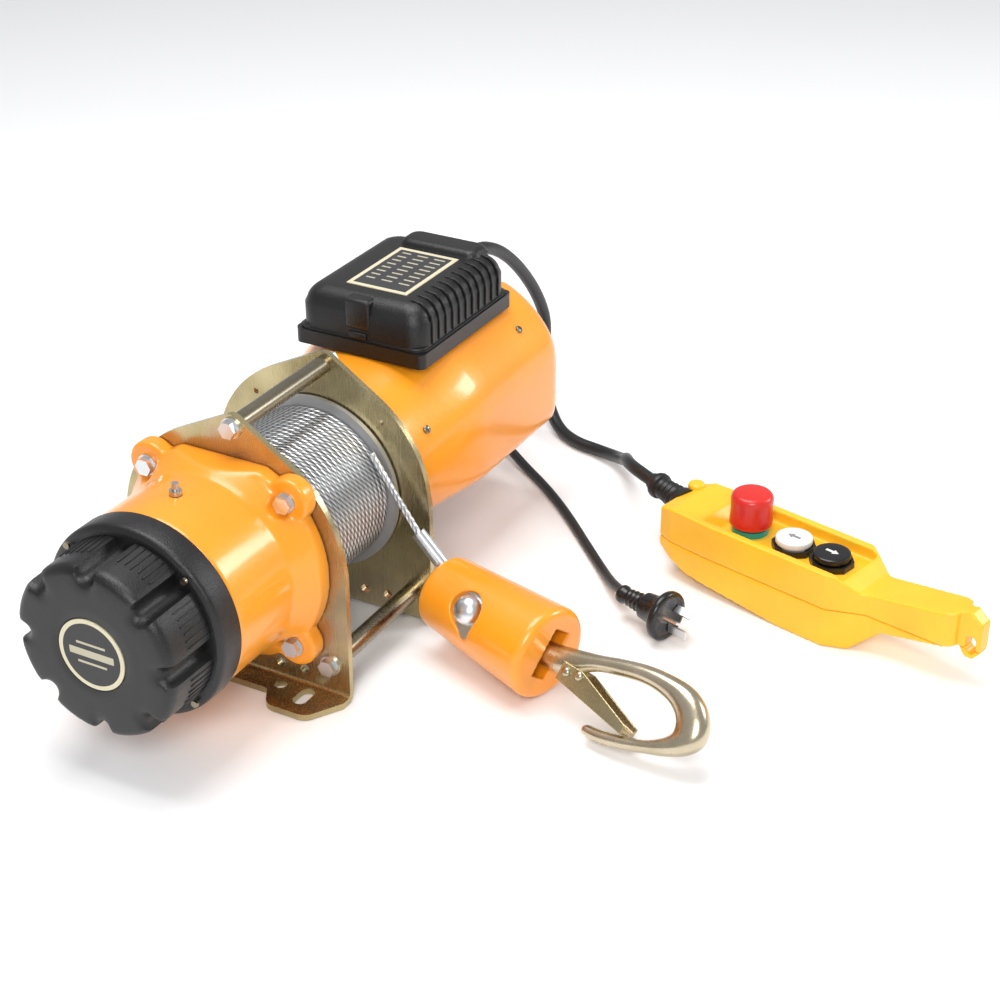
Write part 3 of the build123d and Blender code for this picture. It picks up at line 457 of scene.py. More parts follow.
# %% CAD nodes that keep their own shape
NODE_FINISH = {
    "gold_zinc": ["gear_side_plate", "motor_side_plate"],
    "bright_zinc": ["tie_rod_bolts", "housing_bolts", "plug_pins", "rope_ferrule", "hook_pin"],
    "turned_steel": ["ring_gear", "output_planet_1", "output_planet_2",
                     "output_planet_3", "first_planet_1", "first_planet_2", "first_planet_3",
                     "first_carrier", "motor_shaft", "oil_plug", "shaft_bearings"],
    "dark_steel": ["tie_rods", "box_screws", "cover_screws"],
    "cast_aluminium": ["drum", "brake_disc", "motor_end_shield", "capacitor"],
    "bronze": ["drum_bushes"],
    "black_paint": ["brake_magnet", "motor_frame"],
    "stacked_sheet": ["stator", "rotor_core"],
    "grained_black": ["control_box_base", "button_bodies"],
    "button_white": ["cooling_fan", "terminal_block", "lower_button"],
    "button_black": ["contactor", "raise_button"],
    "rating_plate": ["nameplate"],
    "round_badge": ["end_badge"],
    "ring_teal": ["estop_base"],
    "button_red": ["estop_stem"],
}
for finish_name, names in NODE_FINISH.items():
    for node_name in names:
        coat(nodes[node_name], finish_name)
print("CAD nodes finished:", sum(len(names) for names in NODE_FINISH.values()))

# %% [markdown]
# ## Tools for round and hollow shapes
#
# Most covers here are skins stretched over a row of sections, as a boat's hull is over its frames.
# The tool below adds a circle, lays it on the first section, then extrudes its rim once for each
# next section. The same tool turns a knob, a plug or a boot when the sections are circles.

# %% Skins over sections
def only(piece):
    """Select one piece and make it the one that operators act on."""
    deselect()
    piece.select_set(True)
    bpy.context.view_layer.objects.active = piece


def key(place):
    return tuple(round(value * 1e7) for value in place)


def skin(name, sections, ends=(True, True)):
    """Skin over rings of points that all have the same count, in metres, in the winch's frame."""
    deselect()
    bpy.ops.mesh.primitive_circle_add(vertices=len(sections[0]), radius=1.0)
    piece = bpy.context.object
    piece.name = name
    bpy.ops.object.mode_set(mode="EDIT")
    bpy.ops.mesh.select_all(action="SELECT")
    mesh = bmesh.from_edit_mesh(piece.data)
    mesh.verts.ensure_lookup_table()
    for vertex, place in zip(mesh.verts, sections[0]):
        vertex.co = place
    for before, after in zip(sections, sections[1:]):
        bpy.ops.mesh.extrude_region_move()
        mesh = bmesh.from_edit_mesh(piece.data)
        where = {key(Vector(old)): Vector(new) for old, new in zip(before, after)}
        for vertex in mesh.verts:
            if vertex.select:
                vertex.co = where[key(vertex.co)]
    if ends[1]:
        bpy.ops.mesh.edge_face_add()
    if ends[0]:
        bpy.ops.mesh.select_all(action="DESELECT")
        mesh = bmesh.from_edit_mesh(piece.data)
        mesh.verts.ensure_lookup_table()
        for vertex in mesh.verts[:len(sections[0])]:
            vertex.select = True
        mesh.select_flush(True)
        bpy.ops.mesh.edge_face_add()
    bpy.ops.mesh.select_all(action="SELECT")
    bpy.ops.mesh.normals_make_consistent(inside=False)
    bpy.ops.object.mode_set(mode="OBJECT")
    piece.data.update()
    only(piece)
    bpy.ops.object.shade_smooth_by_angle(angle=math.radians(38))
    return piece


def stand_along(start, aim, across=(0.0, 0.0, 1.0)):
    """Matrix whose Z runs along aim and whose X is as near to across as it can be, from mm."""
    up = Vector(aim).normalized()
    side = (Vector(across) - up * up.dot(Vector(across))).normalized()
    turn = Matrix((side, up.cross(side), up)).transposed().to_4x4()
    return Matrix.Translation(Vector(start) * MM) @ turn @ Matrix.Scale(MM, 4)


def circle(radius, count=64, lobes=0, depth=0.0, turn=0.0):
    """Points round a circle in mm, waved by lobes if it has any."""
    places = []
    for step in range(count):
        angle = 2 * math.pi * step / count
        reach = radius - depth * (0.5 - 0.5 * math.cos(lobes * (angle - turn)))
        places.append((reach * math.cos(angle), reach * math.sin(angle)))
    return places


def ring_at(place, outline, height):
    """Outline in mm put at a height along the place's own Z, in metres."""
    return [tuple(place @ Vector((x, y, height))) for x, y in outline]


def turned(name, place, profile, count=64, ends=(True, True)):
    """Shape turned as on a lathe, from pairs of height and radius in mm."""
    return skin(name, [ring_at(place, circle(radius, count), height)
                       for height, radius in profile], ends)


def rounding(height, radius, corner, steps=5, sign=1):
    """Profile pairs that round a corner: the side turns inwards as the height grows by corner."""
    pairs = []
    for step in range(steps + 1):
        angle = math.pi / 2 * step / steps
        pairs.append((height + sign * corner * math.sin(angle),
                      radius - corner * (1 - math.cos(angle))))
    return pairs


X_AXIS = stand_along((0, 0, AXIS_Z), (-1, 0, 0), (0, 0, 1))


def finished(piece, finish_name, slot, body, *replaced):
    """Coat a piece, hang it on its body and hide the CAD nodes that it stands for."""
    coat(piece, finish_name)
    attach(piece, body)
    if replaced:
        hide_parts(*replaced)
    return piece


def joined(name, pieces):
    """One piece made of several."""
    deselect()
    for piece in pieces:
        piece.select_set(True)
    bpy.context.view_layer.objects.active = pieces[0]
    if len(pieces) > 1:
        bpy.ops.object.join()
    pieces[0].name = name
    return pieces[0]


def use(piece, kind, **settings):
    """Put a modifier on the piece and apply it."""
    only(piece)
    modifier = piece.modifiers.new(kind.title(), kind)
    for setting, value in settings.items():
        setattr(modifier, setting, value)
    bpy.ops.object.modifier_apply(modifier=modifier.name)


def rounded_block(name, low, high, corner, place=None):
    """Block between two corners in mm, its edges rounded."""
    deselect()
    bpy.ops.mesh.primitive_cube_add(size=1.0)
    piece = bpy.context.object
    piece.name = name
    middle = [(a + b) / 2 for a, b in zip(low, high)]
    for vertex in piece.data.vertices:
        at = Vector([m + v * (b - a) for m, v, a, b in zip(middle, vertex.co, low, high)])
        vertex.co = (place or Matrix.Scale(MM, 4)) @ at
    use(piece, "BEVEL", width=corner * MM, segments=3, limit_method="NONE")
    only(piece)
    bpy.ops.object.shade_smooth_by_angle(angle=math.radians(38))
    return piece


def softened(node_name, name, voxel, rounds):
    """Copy of a CAD node with the soft corners of a casting: remeshed finely, then relaxed."""
    source = nodes[node_name]
    piece = source.copy()
    piece.data = source.data.copy()
    piece.parent = None
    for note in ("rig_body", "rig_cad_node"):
        del piece[note]
    piece.name = name
    bpy.context.scene.collection.objects.link(piece)
    piece.hide_render = False
    piece.hide_viewport = False
    only(piece)
    bpy.ops.object.mode_set(mode="EDIT")
    bpy.ops.mesh.select_all(action="SELECT")
    bpy.ops.mesh.remove_doubles(threshold=0.00001)
    bpy.ops.object.mode_set(mode="OBJECT")
    use(piece, "REMESH", mode="VOXEL", voxel_size=voxel * MM)
    use(piece, "SMOOTH", factor=0.5, iterations=rounds)
    only(piece)
    bpy.ops.object.shade_smooth()
    return piece


# %% [markdown]
# ## The wound rope
#
# Wire rope is six strands twisted round a core. A turn on the drum is a ring whose section has six
# lobes, and the lobes wind round as the ring goes. One turn is modelled and copied to fill the drum.

# %% Rope on the drum
STRANDS = 6
LAY_TURNS = 12


def rope_turn(name, x, radius, rope_radius, start):
    """One turn of stranded rope about the drum."""
    deselect()
    bpy.ops.mesh.primitive_torus_add(major_segments=168, minor_segments=24, major_radius=radius * MM,
                                     minor_radius=rope_radius * MM,
                                     rotation=(0.0, math.radians(90), 0.0))
    turn = bpy.context.object
    turn.name = name
    bpy.ops.object.transform_apply(location=True, rotation=True, scale=True)
    for vertex in turn.data.vertices:
        _, y, z = vertex.co
        around = math.atan2(z, y)
        middle = Vector((0.0, radius * MM * math.cos(around), radius * MM * math.sin(around)))
        out = vertex.co - middle
        small = math.atan2(out.x, math.hypot(y, z) - radius * MM)
        twist = STRANDS / 2 * small - LAY_TURNS * STRANDS / 2 * around + start
        out *= 0.74 + 0.26 * abs(math.cos(twist)) ** 0.55
        vertex.co = middle + out + Vector((x * MM, 0.0, AXIS_Z * MM))
    return turn


ROPE_TURNS, ROPE_PITCH, ROPE_R = 20, 5.04, 61.4
turns = [rope_turn("rope_turn", (number - (ROPE_TURNS - 1) / 2) * ROPE_PITCH, ROPE_R, 2.6, number * 0.9)
         for number in range(ROPE_TURNS)]
rope_coil = joined("wound_rope", turns)
only(rope_coil)
bpy.ops.object.shade_smooth()


def rope_steel():
    """Bright wires, with painted shade: darker between the wires, and nearly black in the grooves
    between the strands of each turn.
    """
    x, y, z = x_y_z()
    up = z - AXIS_Z * MM
    radius = Field.math("SQRT", y * y + up * up)
    turn = Field.math("FLOOR", x / (ROPE_PITCH * MM) + ROPE_TURNS / 2)
    sideways = x - (turn + 0.5 - ROPE_TURNS / 2) * (ROPE_PITCH * MM)
    small = Field.math("ARCTAN2", sideways, radius - ROPE_R * MM)
    around = Field.math("ARCTAN2", up, y)
    twist = small * (STRANDS / 2) - around * (LAY_TURNS * STRANDS / 2) + turn * 0.9
    # crest is 1 on each strand's crest and 0 in the groove between two strands, where the colour goes
    # nearly black as painted shade
    crest = abs(Field.math("COSINE", twist))
    # the wire stripes are darker between the wires: painted shade between wires
    wires = abs(Field.math("SINE", twist * 4.0 + x * 900.0))
    bright = mix((0.36, 0.365, 0.37), (0.70, 0.705, 0.71), wires)
    return {"Base Color": mix((0.03, 0.03, 0.031), bright, crest.between(0.22, 0.72)),
            "Metallic": 0.95, "Roughness": 0.27 + 0.12 * cloud(300.0, 3.0)}


finish("rope_steel", rope_steel)
finish("lead_steel", lambda: {"Base Color": mix((0.60, 0.61, 0.63), (0.86, 0.87, 0.88), cloud(500.0)),
                              "Metallic": 1.0, "Roughness": 0.3 + 0.1 * cloud(300.0, 3.0)})
finished(rope_coil, "rope_steel", "bright_zinc", "drum", "rope_winding")
print("rope turns:", len(turns), "faces:", len(rope_coil.data.polygons))

# %% [markdown]
# ## Rope lead, ferrule side
#
# The short taut end runs from the drum to the ferrule in the hook's cover. It is the same twisted
# section, drawn along a straight line.

# %% Rope lead
LEAD_START = Vector((44.5, -53.5, 145.7))
LEAD_END = Vector((44.0, -93.0, 89.0))
lead_run = LEAD_END - LEAD_START
lead_place = stand_along(LEAD_START, lead_run)
lead_sections = []
for step in range(61):
    share = step / 60
    along_mm = lead_run.length * share
    lead_sections.append(ring_at(lead_place, circle(2.6, 36, STRANDS, 0.9,
                                                    along_mm * 2 * math.pi / 34), along_mm))
rope_lead = skin("rope_lead_strands", lead_sections)
finished(rope_lead, "lead_steel", "bright_zinc", "hoist", "rope_lead")
print("rope lead", round(lead_run.length, 1), "mm")

# %% [markdown]
# ## Motor casing
#
# The motor is a round neck that swells into a body with flat sides, round shoulders and a narrower
# base. Sections along the axis carry the swell, and the rear edge is rounded off in small steps.

# %% Motor casing
BODY_HALF, SIDE_TOP, SIDE_BOTTOM, TOP_FLAT = 86.0, 36.0, -26.0, 38.0
BASE_HALF, BASE_DROP, NECK_R = 52.0, -48.3, 71.0


def rounded_run(start, end, count):
    """Points from start towards end, without end."""
    return [(start[0] + (end[0] - start[0]) * step / count,
             start[1] + (end[1] - start[1]) * step / count) for step in range(count)]


def body_outline():
    """Right half of the body's section from its base to its top, then mirrored to the left."""
    half, drop = [], BASE_DROP
    half += rounded_run((0.0, drop), (BASE_HALF, drop), 6)
    half += rounded_run((BASE_HALF, drop), (BODY_HALF - 2.0, SIDE_BOTTOM - 3.5), 6)
    half += rounded_run((BODY_HALF - 2.0, SIDE_BOTTOM - 3.5), (BODY_HALF, SIDE_BOTTOM + 4.5), 3)
    half += rounded_run((BODY_HALF, SIDE_BOTTOM + 4.5), (BODY_HALF, SIDE_TOP - 2.5), 8)
    reach = math.hypot(BODY_HALF, SIDE_TOP)
    low = math.atan2(SIDE_TOP + 1.5, BODY_HALF - 0.8)
    high = math.atan2(BODY_HALF - 0.8, TOP_FLAT + 1.5)
    for step in range(13):
        angle = low + (high - low) * step / 12
        half.append((reach * 0.996 * math.cos(angle), reach * 0.996 * math.sin(angle)))
    half += rounded_run((TOP_FLAT - 2.0, BODY_HALF), (0.0, BODY_HALF), 6)
    left = [(-y, z) for y, z in reversed(half[1:])]
    return half + [(0.0, BODY_HALF)] + left


outline = body_outline()
for _ in range(3):
    outline = [((left[0] + 2 * here[0] + right[0]) / 4, (left[1] + 2 * here[1] + right[1]) / 4)
               for left, here, right in zip(outline[-1:] + outline[:-1], outline,
                                            outline[1:] + outline[:1])]


def neck_point(y, z):
    """Where a point of the body's section lies on the round neck."""
    angle = math.atan2(z - 4.0, y)
    return (NECK_R * math.cos(angle), NECK_R * math.sin(angle))


def motor_section(x, share, scale=1.0):
    """Section at x, part neck and part body."""
    places = []
    for y, z in outline:
        neck_y, neck_z = neck_point(y, z)
        places.append((x * MM, (neck_y + (y - neck_y) * share) * scale * MM,
                       (AXIS_Z + (neck_z + (z - neck_z) * share) * scale) * MM))
    return places


motor_sections = [motor_section(61.0, 0.0), motor_section(66.0, 0.0), motor_section(72.0, 0.035)]
for step in range(1, 17):
    share = step / 16
    swell = 0.55 * share + 0.45 * share * share * (3 - 2 * share)
    motor_sections.append(motor_section(72.0 + (163.0 - 72.0) * share, 0.035 + 0.965 * swell))
motor_sections += [motor_section(x, 1.0) for x in (180.0, 210.0, 240.0, 262.0, 276.0)]
for step in range(1, 8):
    angle = math.pi / 2 * step / 7
    motor_sections.append(motor_section(276.0 + 20.0 * math.sin(angle), 1.0,
                                        1.0 - 0.15 * (1 - math.cos(angle))))
motor_sections.append(motor_section(296.0, 1.0, 0.80))
motor_casing = skin("motor_casing", motor_sections)
finished(motor_casing, "orange_enamel", "orange_paint", "hoist", "motor_shell")
print("motor casing sections:", len(motor_sections))

# %% [markdown]
# ## Gear casing
#
# The gear casing is one iron casting: a barrel, a wide flange and four bolt lobes that melt into
# each other. Its CAD node has the right walls with sharp corners, so a copy is remeshed finely and
# relaxed, which rounds every corner at once, as sand casting does.

# %% Gear casing
gear_casing = softened("gear_housing", "gear_casing", 1.3, 20)
finished(gear_casing, "orange_enamel", "orange_paint", "hoist", "gear_housing")
print("gear casing faces:", len(gear_casing.data.polygons))

# %% [markdown]
# ## Brake ring and cover
#
# The black cover has eight lobes with round grooves between them, rounded at the front, and fine
# cooling ribs at the foot of each lobe. The section is drawn once with its grooves and used at
# every step along the axis.

# %% Brake ring and cover
COVER_R = 66.0
LOBES, GROOVE_R = 8, 8.0


def cover_outline(shrink):
    """Circle with a round groove between the lobes, pulled in by shrink."""
    places, step_angle = [], 2 * math.pi / LOBES
    radius = COVER_R - shrink
    groove = GROOVE_R + 0.12 * shrink
    half_groove = math.asin(groove / radius) * 1.04
    for lobe in range(LOBES):
        middle = lobe * step_angle
        for step in range(13):
            turn = -half_groove + 2 * half_groove * step / 12
            bite = max(0.0, groove ** 2 - (radius * math.sin(turn)) ** 2) ** 0.5
            reach = radius * math.cos(turn) - bite * 1.15
            places.append((reach * math.cos(middle + turn), reach * math.sin(middle + turn)))
        for step in range(1, 9):
            turn = half_groove + (step_angle - 2 * half_groove) * step / 9
            places.append((radius * math.cos(middle + turn), radius * math.sin(middle + turn)))
    return places


cover_sections = [ring_at(X_AXIS, cover_outline(0.0), 174.5),
                  ring_at(X_AXIS, cover_outline(0.2), 190.0),
                  ring_at(X_AXIS, cover_outline(0.6), 208.0)]
for step in range(0, 9):
    angle = math.pi / 2 * step / 8
    cover_sections.append(ring_at(X_AXIS, cover_outline(0.7 + 7.5 * (1 - math.cos(angle))),
                                  213.6 + 7.9 * math.sin(angle)))
cover_sections.append(ring_at(X_AXIS, cover_outline(10.5), 221.8))
for height, radius in ((221.8, 44.0), (221.8, 36.0), (221.8, 28.6), (221.3, 27.5), (220.9, 27.2)):
    flat = [(radius * y / math.hypot(y, z), radius * z / math.hypot(y, z))
            for y, z in cover_outline(10.5)]
    cover_sections.append(ring_at(X_AXIS, flat, height))
cover_body = skin("cover_body", cover_sections)
ribs = []
for lobe in range(LOBES):
    for rib in range(6):
        angle = 2 * math.pi * (lobe + 0.5) / LOBES + math.radians(4.6) * (rib - 2.5)
        out = Vector((0.0, -math.sin(angle), math.cos(angle)))
        place = stand_along(Vector((0, 0, AXIS_Z)) + out * 65.6, (-1, 0, 0), out)
        ribs.append(rounded_block("rib", (-2.0, -0.55, 176.0), (0.9, 0.55, 201.0 - rib % 2), 0.4,
                                  place))
brake_cap = joined("brake_cap", [cover_body] + ribs)
finished(brake_cap, "grained_black", "black_plastic", "hoist", "brake_cover")
ring_profile = [(154.2, 60.0), (154.2, 72.3), (154.8, 73.2), (156.0, 73.5), (172.0, 73.5)]
ring_profile += [(174.4, 73.0), (175.6, 71.8), (176.0, 70.6), (176.6, 69.8), (177.0, 68.6),
                 (177.0, 60.0)]
brake_ring = turned("brake_ring", X_AXIS, ring_profile, 128)
finished(brake_ring, "grained_black", "black_plastic", "hoist", "brake_housing")
print("cover ribs:", len(ribs))

# %% [markdown]
# ## Control box
#
# The lid is a deep moulding: upright walls with round corners, a top edge rounded generously, a
# raised block at the cord end, a screw boss on the drum side, and cooling fins that climb the front
# wall and bend over its edge. The walls are a skin over rounded rectangles, and the rest is added.

# %% Control box lid
BOX = {"x0": 116.5, "x1": 254.5, "half": 55.5, "foot": 197.0, "top": 232.0}


def rounded_rectangle(x0, x1, y0, y1, corner, per_corner=8):
    """Outline in mm whose corners are quarter circles."""
    places = []
    corners = ((x1 - corner, y1 - corner, 0), (x0 + corner, y1 - corner, 90),
               (x0 + corner, y0 + corner, 180), (x1 - corner, y0 + corner, 270))
    for middle_x, middle_y, first in corners:
        for step in range(per_corner + 1):
            angle = math.radians(first + 90 * step / per_corner)
            places.append((middle_x + corner * math.cos(angle), middle_y + corner * math.sin(angle)))
    return places


UPRIGHT = Matrix.Scale(MM, 4)


def lid(name, x0, x1, y0, y1, low, high, corner, roll, ends=(False, True)):
    """Moulding whose top edge rolls over with the radius roll."""
    sections = [ring_at(UPRIGHT, rounded_rectangle(x0, x1, y0, y1, corner), low)]
    for step in range(9):
        angle = math.pi / 2 * step / 8
        pull = roll * (1 - math.cos(angle)) + 1.0 * (step > 0)
        sections.append(ring_at(UPRIGHT, rounded_rectangle(
            x0 + pull, x1 - pull, y0 + pull, y1 - pull, max(corner - pull * 0.4, 2.0)),
            high - roll + roll * math.sin(angle)))
    return skin(name, sections, ends)


box_parts = [lid("lid", BOX["x0"], BOX["x1"], -BOX["half"], BOX["half"], BOX["foot"], BOX["top"],
                 15.0, 15.0)]
box_parts.append(lid("lid_block", 224.0, 253.0, -42.0, 31.0, 220.0, 237.3, 9.0, 6.0))
box_parts.append(lid("lid_lip", BOX["x0"] - 1.2, BOX["x1"] + 1.2, -BOX["half"] - 1.2,
                     BOX["half"] + 1.2, 197.0, 200.0, 10.0, 1.2))
box_parts.append(rounded_block("lid_boss", (114.9, -10.0, 206.0), (128.0, 12.0, 231.0), 3.0))
box_parts.append(rounded_block("lid_foot", (114.6, -7.0, 198.0), (120.0, 9.0, 204.0), 1.5))
for number in range(11):
    x = 133.0 + number * 10.4
    outline_yz = [(-54.9, 199.0), (-57.0, 200.5), (-57.2, 214.0), (-56.0, 222.0), (-52.4, 228.4),
                  (-47.0, 231.9), (-40.0, 233.0), (-36.0, 232.2), (-36.0, 229.0), (-52.0, 214.0)]
    sections = [[(at * MM, y * MM, z * MM) for y, z in outline_yz] for at in (x - 1.1, x + 1.1)]
    fin = skin("lid_fin", sections)
    use(fin, "BEVEL", width=0.6 * MM, segments=2, limit_method="ANGLE")
    box_parts.append(fin)
box_lid = joined("box_lid", box_parts)
only(box_lid)
bpy.ops.object.shade_smooth_by_angle(angle=math.radians(40))
finished(box_lid, "grained_black", "black_plastic", "hoist", "control_box_cover")
print("lid faces:", len(box_lid.data.polygons))

# %% [markdown]
# ## Glands and the boot
#
# A cord that hangs from a box needs a tapered rubber sleeve, ribbed so that it bends evenly. Both
# kinds here are turned shapes: their profile steps in and out for the ribs.

# %% Glands and boot
def ribbed(start, radius_start, radius_end, length, ribs_count, depth):
    """Profile of a ribbed taper that starts at a height."""
    pairs = []
    for step in range(ribs_count * 4 + 1):
        share = step / (ribs_count * 4)
        dip = depth * (0.5 - 0.5 * math.cos(2 * math.pi * share * ribs_count))
        pairs.append((start + length * share,
                      radius_start + (radius_end - radius_start) * share - dip))
    return pairs


GLAND_X = 254.5
glands = []
for number, (y, cord_radius) in enumerate(((2.0, 5.5), (32.0, 4.0))):
    place = stand_along((GLAND_X, y, 206.0), (1, 0, 0))
    profile = [(-1.0, cord_radius + 2.4), (2.0, cord_radius + 2.5), (6.0, cord_radius + 2.5),
               (7.0, cord_radius + 2.0)]
    profile += ribbed(7.5, cord_radius + 1.9, cord_radius + 0.5, 13.0, 4, 0.5)
    glands.append(turned(f"gland_{number + 1}", place, profile, 40))
cord_sleeves = joined("cord_sleeves", glands)
finished(cord_sleeves, "rubber", "rubber", "hoist", "cord_glands")

BOOT_START, BOOT_END = Vector((264.7, -186.6, 50.8)), Vector((246.8, -220.3, 50.0))
boot_place = stand_along(BOOT_START, BOOT_END - BOOT_START)
boot_reach = (BOOT_END - BOOT_START).length
boot_profile = [(-2.0, 5.7), (-1.2, 7.2), (4.0, 8.0), (5.0, 10.4), (6.6, 11.0), (9.4, 11.0),
                (11.0, 10.4), (12.0, 8.6)]
boot_profile += ribbed(12.5, 8.8, 11.0, boot_reach - 16.0, 4, 1.3)
boot_profile += [(boot_reach - 2.0, 11.8), (boot_reach + 4.0, 12.0)]
pendant_sleeve = turned("pendant_sleeve", boot_place, boot_profile, 48)
finished(pendant_sleeve, "rubber", "rubber", "hoist", "pendant_boot")
print("boot", round(boot_reach, 1), "mm long")

# %% [markdown]
# ## Mains plug
#
# The plug is a flat drum with a ribbed neck and a collar where the cord goes in. Its rim is
# rounded and its face is slightly sunk, so the three flat pins stand out of a shallow dish.

# %% Plug
PLUG_AT, PLUG_AIM = (127.5, -261.0, 20.0), (-0.29, -0.956, 0.0)
plug_place = stand_along(PLUG_AT, PLUG_AIM)
plug_profile = [(-46.5, 4.2), (-46.0, 6.4), (-44.4, 7.4), (-41.5, 7.4), (-40.4, 6.6)]
plug_profile += ribbed(-40.0, 6.6, 8.2, 17.0, 4, 0.9)
plug_profile += [(-22.0, 8.8), (-20.5, 10.6), (-14.0, 11.4), (-6.0, 12.2), (-4.6, 13.4),
                 (-3.6, 17.8), (-2.8, 19.2), (-1.4, 19.9), (1.2, 19.9), (2.6, 19.3), (3.3, 18.2),
                 (3.4, 16.0), (2.8, 15.2)]
plug_shell = turned("plug_shell", plug_place, plug_profile, 72)
finished(plug_shell, "button_black", "black_plastic", "hoist", "plug_body")
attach(pendant_lead, "hoist")
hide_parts("pendant_cord")
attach(mains_lead, "hoist")
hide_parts("mains_cord")
for lead in (pendant_lead, mains_lead):
    lead.data.materials.append(finishes["rubber"])

# %% [markdown]
# ## Hook and its cover
#
# A hook is forged from round bar, so nothing on it has a sharp edge. Its bar is a skin over rounded
# sections that follow the outer and the inner edge, thick in the bowl and slim at the tip. The
# painted cover is a casting, so a fine copy of its CAD node is relaxed until its corners are soft.

# %% Hook, latch and cover
HOOK_PIN, HOOK_AIM, HOOK_TILT = (30.5, -160.0, 42.3), Vector((-0.276, -0.959, -0.062)), 52.0
hook_aim = HOOK_AIM.normalized()
tilted = Vector((-math.cos(math.radians(HOOK_TILT)), 0.0, -math.sin(math.radians(HOOK_TILT))))
hook_side = (tilted - hook_aim * hook_aim.dot(tilted)).normalized()
hook_place = (Matrix.Translation(Vector(HOOK_PIN) * MM)
              @ Matrix((hook_side, hook_aim, hook_side.cross(hook_aim))).transposed().to_4x4()
              @ Matrix.Scale(MM, 4))
# outer point, inner point and half thickness of the bar, from the eye round to the tip
BAR = [((-11, 0), (11, 0), 8.0), ((-10, 22), (10, 22), 8.1), ((-9.5, 45), (9.5, 45), 8.2),
       ((-9.5, 60), (9, 60), 8.3), ((-12, 74), (8.5, 76), 8.4), ((-16, 90), (2, 90), 8.2),
       ((-20, 105), (-6.5, 103), 8.0), ((-25.5, 122), (-12, 120), 8.0),
       ((-30, 140), (-16.5, 139), 8.4), ((-32.5, 160), (-17.5, 154), 8.9),
       ((-32, 179), (-15.5, 167), 9.4), ((-25.5, 194), (-11, 176), 9.8),
       ((-14, 204), (-5.5, 180.5), 10.0), ((-1, 206), (1, 182), 10.0), ((10.5, 198), (6.5, 178.5), 9.8),
       ((19, 183), (11.5, 172.5), 9.4), ((25.5, 166), (16.5, 163.5), 8.8), ((31, 151), (21.5, 148), 8.2),
       ((35.5, 133), (26, 130.5), 7.2), ((36, 121), (27.6, 120.5), 6.2)]


def between_four(before, low, high, after, share):
    """Smooth curve through a row of values, between low and high."""
    return 0.5 * ((2 * low) + (high - before) * share
                  + (2 * before - 5 * low + 4 * high - after) * share ** 2
                  + (3 * low - before - 3 * high + after) * share ** 3)


def bar_section(middle, reach, thick, squareness=2.25, count=32):
    """Rounded section of the bar: reach is half its width as an arrow, thick half its thickness."""
    places = []
    for step in range(count):
        angle = 2 * math.pi * step / count
        wide = math.copysign(abs(math.cos(angle)) ** (2 / squareness), math.cos(angle))
        deep = math.copysign(abs(math.sin(angle)) ** (2 / squareness), math.sin(angle))
        places.append(tuple(hook_place @ Vector((middle[0] + reach[0] * wide,
                                                 middle[1] + reach[1] * wide, thick * deep))))
    return places


stations = [(*outer, *inner, thick) for outer, inner, thick in BAR]
padded = [stations[0]] + stations + [stations[-1]]
hook_sections = []
for number in range(len(stations) - 1):
    for part in range(4):
        four = zip(*padded[number:number + 4])
        ox, oy, ix, iy, thick = (between_four(*values, part / 4) for values in four)
        hook_sections.append(bar_section(((ox + ix) / 2, (oy + iy) / 2),
                                         ((ox - ix) / 2, (oy - iy) / 2), thick))
tip_middle, tip_reach, tip_aim = Vector((31.8, 120.7)), Vector((4.2, 0.3)), Vector((0.12, -1.0))
for step in range(7):
    angle = math.pi / 2 * step / 6.3
    hook_sections.append(bar_section(tip_middle + tip_aim * 4.4 * math.sin(angle),
                                     tip_reach * math.cos(angle), 6.2 * math.cos(angle)))
hook_bar = skin("hook_bar", hook_sections)
forged_hook = joined("forged_hook", [hook_bar])
finished(forged_hook, "forged_zinc", "gold_zinc", "hook", "hook")

# Rivet heads on both cheeks of the latch, and a dome over each end of the hook's pin.
for number, side in enumerate((-1, 1)):
    outwards = Matrix.Diagonal((side, 1.0, side, 1.0))
    domes = []
    for x, y in ((3.0, 88.0), (1.0, 99.0)):
        domes.append(turned("dome", hook_place @ Matrix.Translation((x, y, 0.0)) @ outwards,
                            [(9.2, 3.6), (10.2, 3.6), (11.0, 3.2), (11.7, 2.2), (12.0, 0.9)], 24))
    rivet_pair = joined("latch_rivets_%d" % number, domes)
    finished(rivet_pair, "forged_zinc", "gold_zinc", "hook_latch")
    pin_dome = turned("pin_dome_%d" % number, hook_place @ outwards,
                      [(25.2, 11.2), (26.0, 11.5)] + rounding(26.5, 11.5, 10.0, 8)
                      + [(36.6, 0.6)], 48)
    finished(pin_dome, "bright_zinc", "bright_zinc", "hoist")
latch_plate = softened("hook_latch", "latch_plate", 0.55, 3)
finished(latch_plate, "gold_zinc", "gold_zinc", "hook_latch", "hook_latch")
cast_cover = softened("hook_cover", "cast_cover", 1.0, 12)
finished(cast_cover, "orange_enamel", "orange_paint", "hoist", "hook_cover")
print("hook faces:", len(forged_hook.data.polygons), "cover faces:", len(cast_cover.data.polygons))

# %% [markdown]
# ## Pendant
#
# The pendant is two moulded shells with a panel sunk between rims. The shells keep their CAD shape
# with softened edges, and the buttons are turned: a tall red stop knob, a white and a black button
# with a plain arrow each.

# %% Pendant shells and buttons
front_shell = softened("pendant_front_shell", "front_shell", 1.1, 7)
finished(front_shell, "pendant_yellow", "yellow_plastic", "hoist", "pendant_front_shell")
back_shell = softened("pendant_back_shell", "back_shell", 1.1, 7)
finished(back_shell, "pendant_yellow", "yellow_plastic", "hoist", "pendant_back_shell")

PENDANT_AT, PENDANT_TURN = Vector((248.0, -198.0, 0.0)), math.radians(256.5)
long_way = Vector((math.cos(PENDANT_TURN), math.sin(PENDANT_TURN), 0.0))


def on_pendant(reach):
    """Place that stands on the pendant's long line, with its X along that line."""
    return stand_along(PENDANT_AT + long_way * reach, (0, 0, 1), long_way)


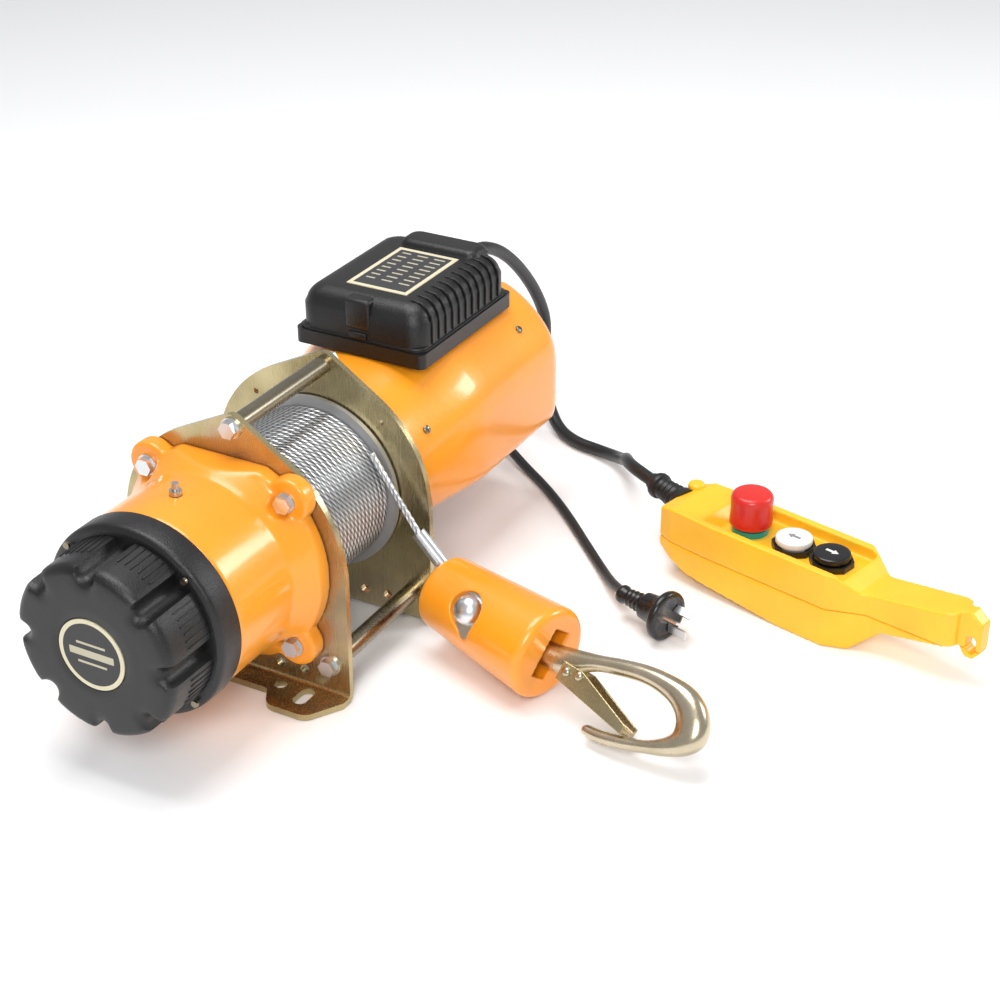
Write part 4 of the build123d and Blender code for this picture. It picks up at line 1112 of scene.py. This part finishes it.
def arrow(name, place, height, size, sign):
    """Thin raised arrow along the place's X."""
    outline_xy = [(-1.0, -0.22), (0.15, -0.22), (0.15, -0.55), (1.0, 0.0), (0.15, 0.55),
                  (0.15, 0.22), (-1.0, 0.22)]
    points = [(sign * x * size, y * size) for x, y in outline_xy]
    return skin(name, [ring_at(place, points, height), ring_at(place, points, height + 0.25)])


stop_place = on_pendant(92.0)
knob_profile = [(64.0, 15.4), (59.8, 15.6), (59.4, 16.4), (60.4, 17.0), (64.0, 17.0), (66.0, 16.6),
                (74.0, 16.5), (80.0, 16.7)]
knob_profile += rounding(81.6, 16.7, 4.8, 6)
knob_profile += [(86.7, 8.0), (86.8, 4.0)]
stop_knob = turned("stop_knob", stop_place, knob_profile, 72)
finished(stop_knob, "button_red", "red_plastic", "estop_head", "estop_head")
for reach, node_name, finish_name, mark, slot_name, sign in (
        (133.0, "lower_button", "button_white", "mark_grey", "white_plastic", -1),
        (168.0, "raise_button", "button_black", "button_white", "black_gloss", 1)):
    place = on_pendant(reach)
    profile = [(40.2, 9.4), (57.4, 9.4), (57.6, 14.0), (58.6, 14.5), (61.2, 14.5), (62.2, 14.2),
               (62.7, 13.4), (62.9, 12.0), (62.75, 6.0)]
    button = turned(f"{node_name}_cap", place, profile, 72)
    finished(button, finish_name, slot_name, node_name, node_name)
    sign_piece = arrow(f"{node_name}_mark", place, 62.75, 5.6, sign)
    finished(sign_piece, mark, slot_name, node_name)
lug_place = on_pendant(26.0) @ Matrix.Translation((0.0, 17.0, 0.0))
hanging_lug = turned("pendant_lug", lug_place, [(50.0, 7.0), (60.0, 7.0)] + rounding(61.0, 7.0, 3.0),
                     40)
finished(hanging_lug, "pendant_yellow", "yellow_plastic", "hoist")

# %% Small screws
def pan_screw(name, at, aim, radius):
    """Domed screw head, with two black bars across its top as painted shade for a crossed recess."""
    place = stand_along(at, aim)
    head = turned(name, place, [(-0.6, radius), (0.5, radius), (1.1, radius * 0.86),
                                (1.45, radius * 0.5), (1.5, radius * 0.2)], 28)
    # the recess is not cut: two dark bars standing on the head are painted shade for it
    recess_shade_bars = [rounded_block("cross", (-radius * 0.62, -0.28, 1.35), (radius * 0.62, 0.28, 1.62), 0.1,
                          place),
            rounded_block("cross", (-0.28, -radius * 0.62, 1.35), (0.28, radius * 0.62, 1.62), 0.1,
                          place)]
    coat(head, "dark_steel")
    for bar in recess_shade_bars:
        coat(bar, "black_paint")
    screw = joined(name, [head] + recess_shade_bars)
    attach(screw, "hoist")
    return screw


pan_screw("neck_screw", (101.2, -68.3, 143.9), (-0.23, -0.83, 0.51), 3.2)
pan_screw("shoulder_screw", (249.0, -68.7, 168.4), (0.0, -0.72, 0.69), 3.2)
pan_screw("lid_screw", (118.6, 1.0, 204.0), (0, 0, 1), 2.6)
print("pendant finished")

# %% [markdown]
# ## Closing the model
#
# The scene is brought up to date once more.

# %% Finish
bpy.context.view_layer.update()
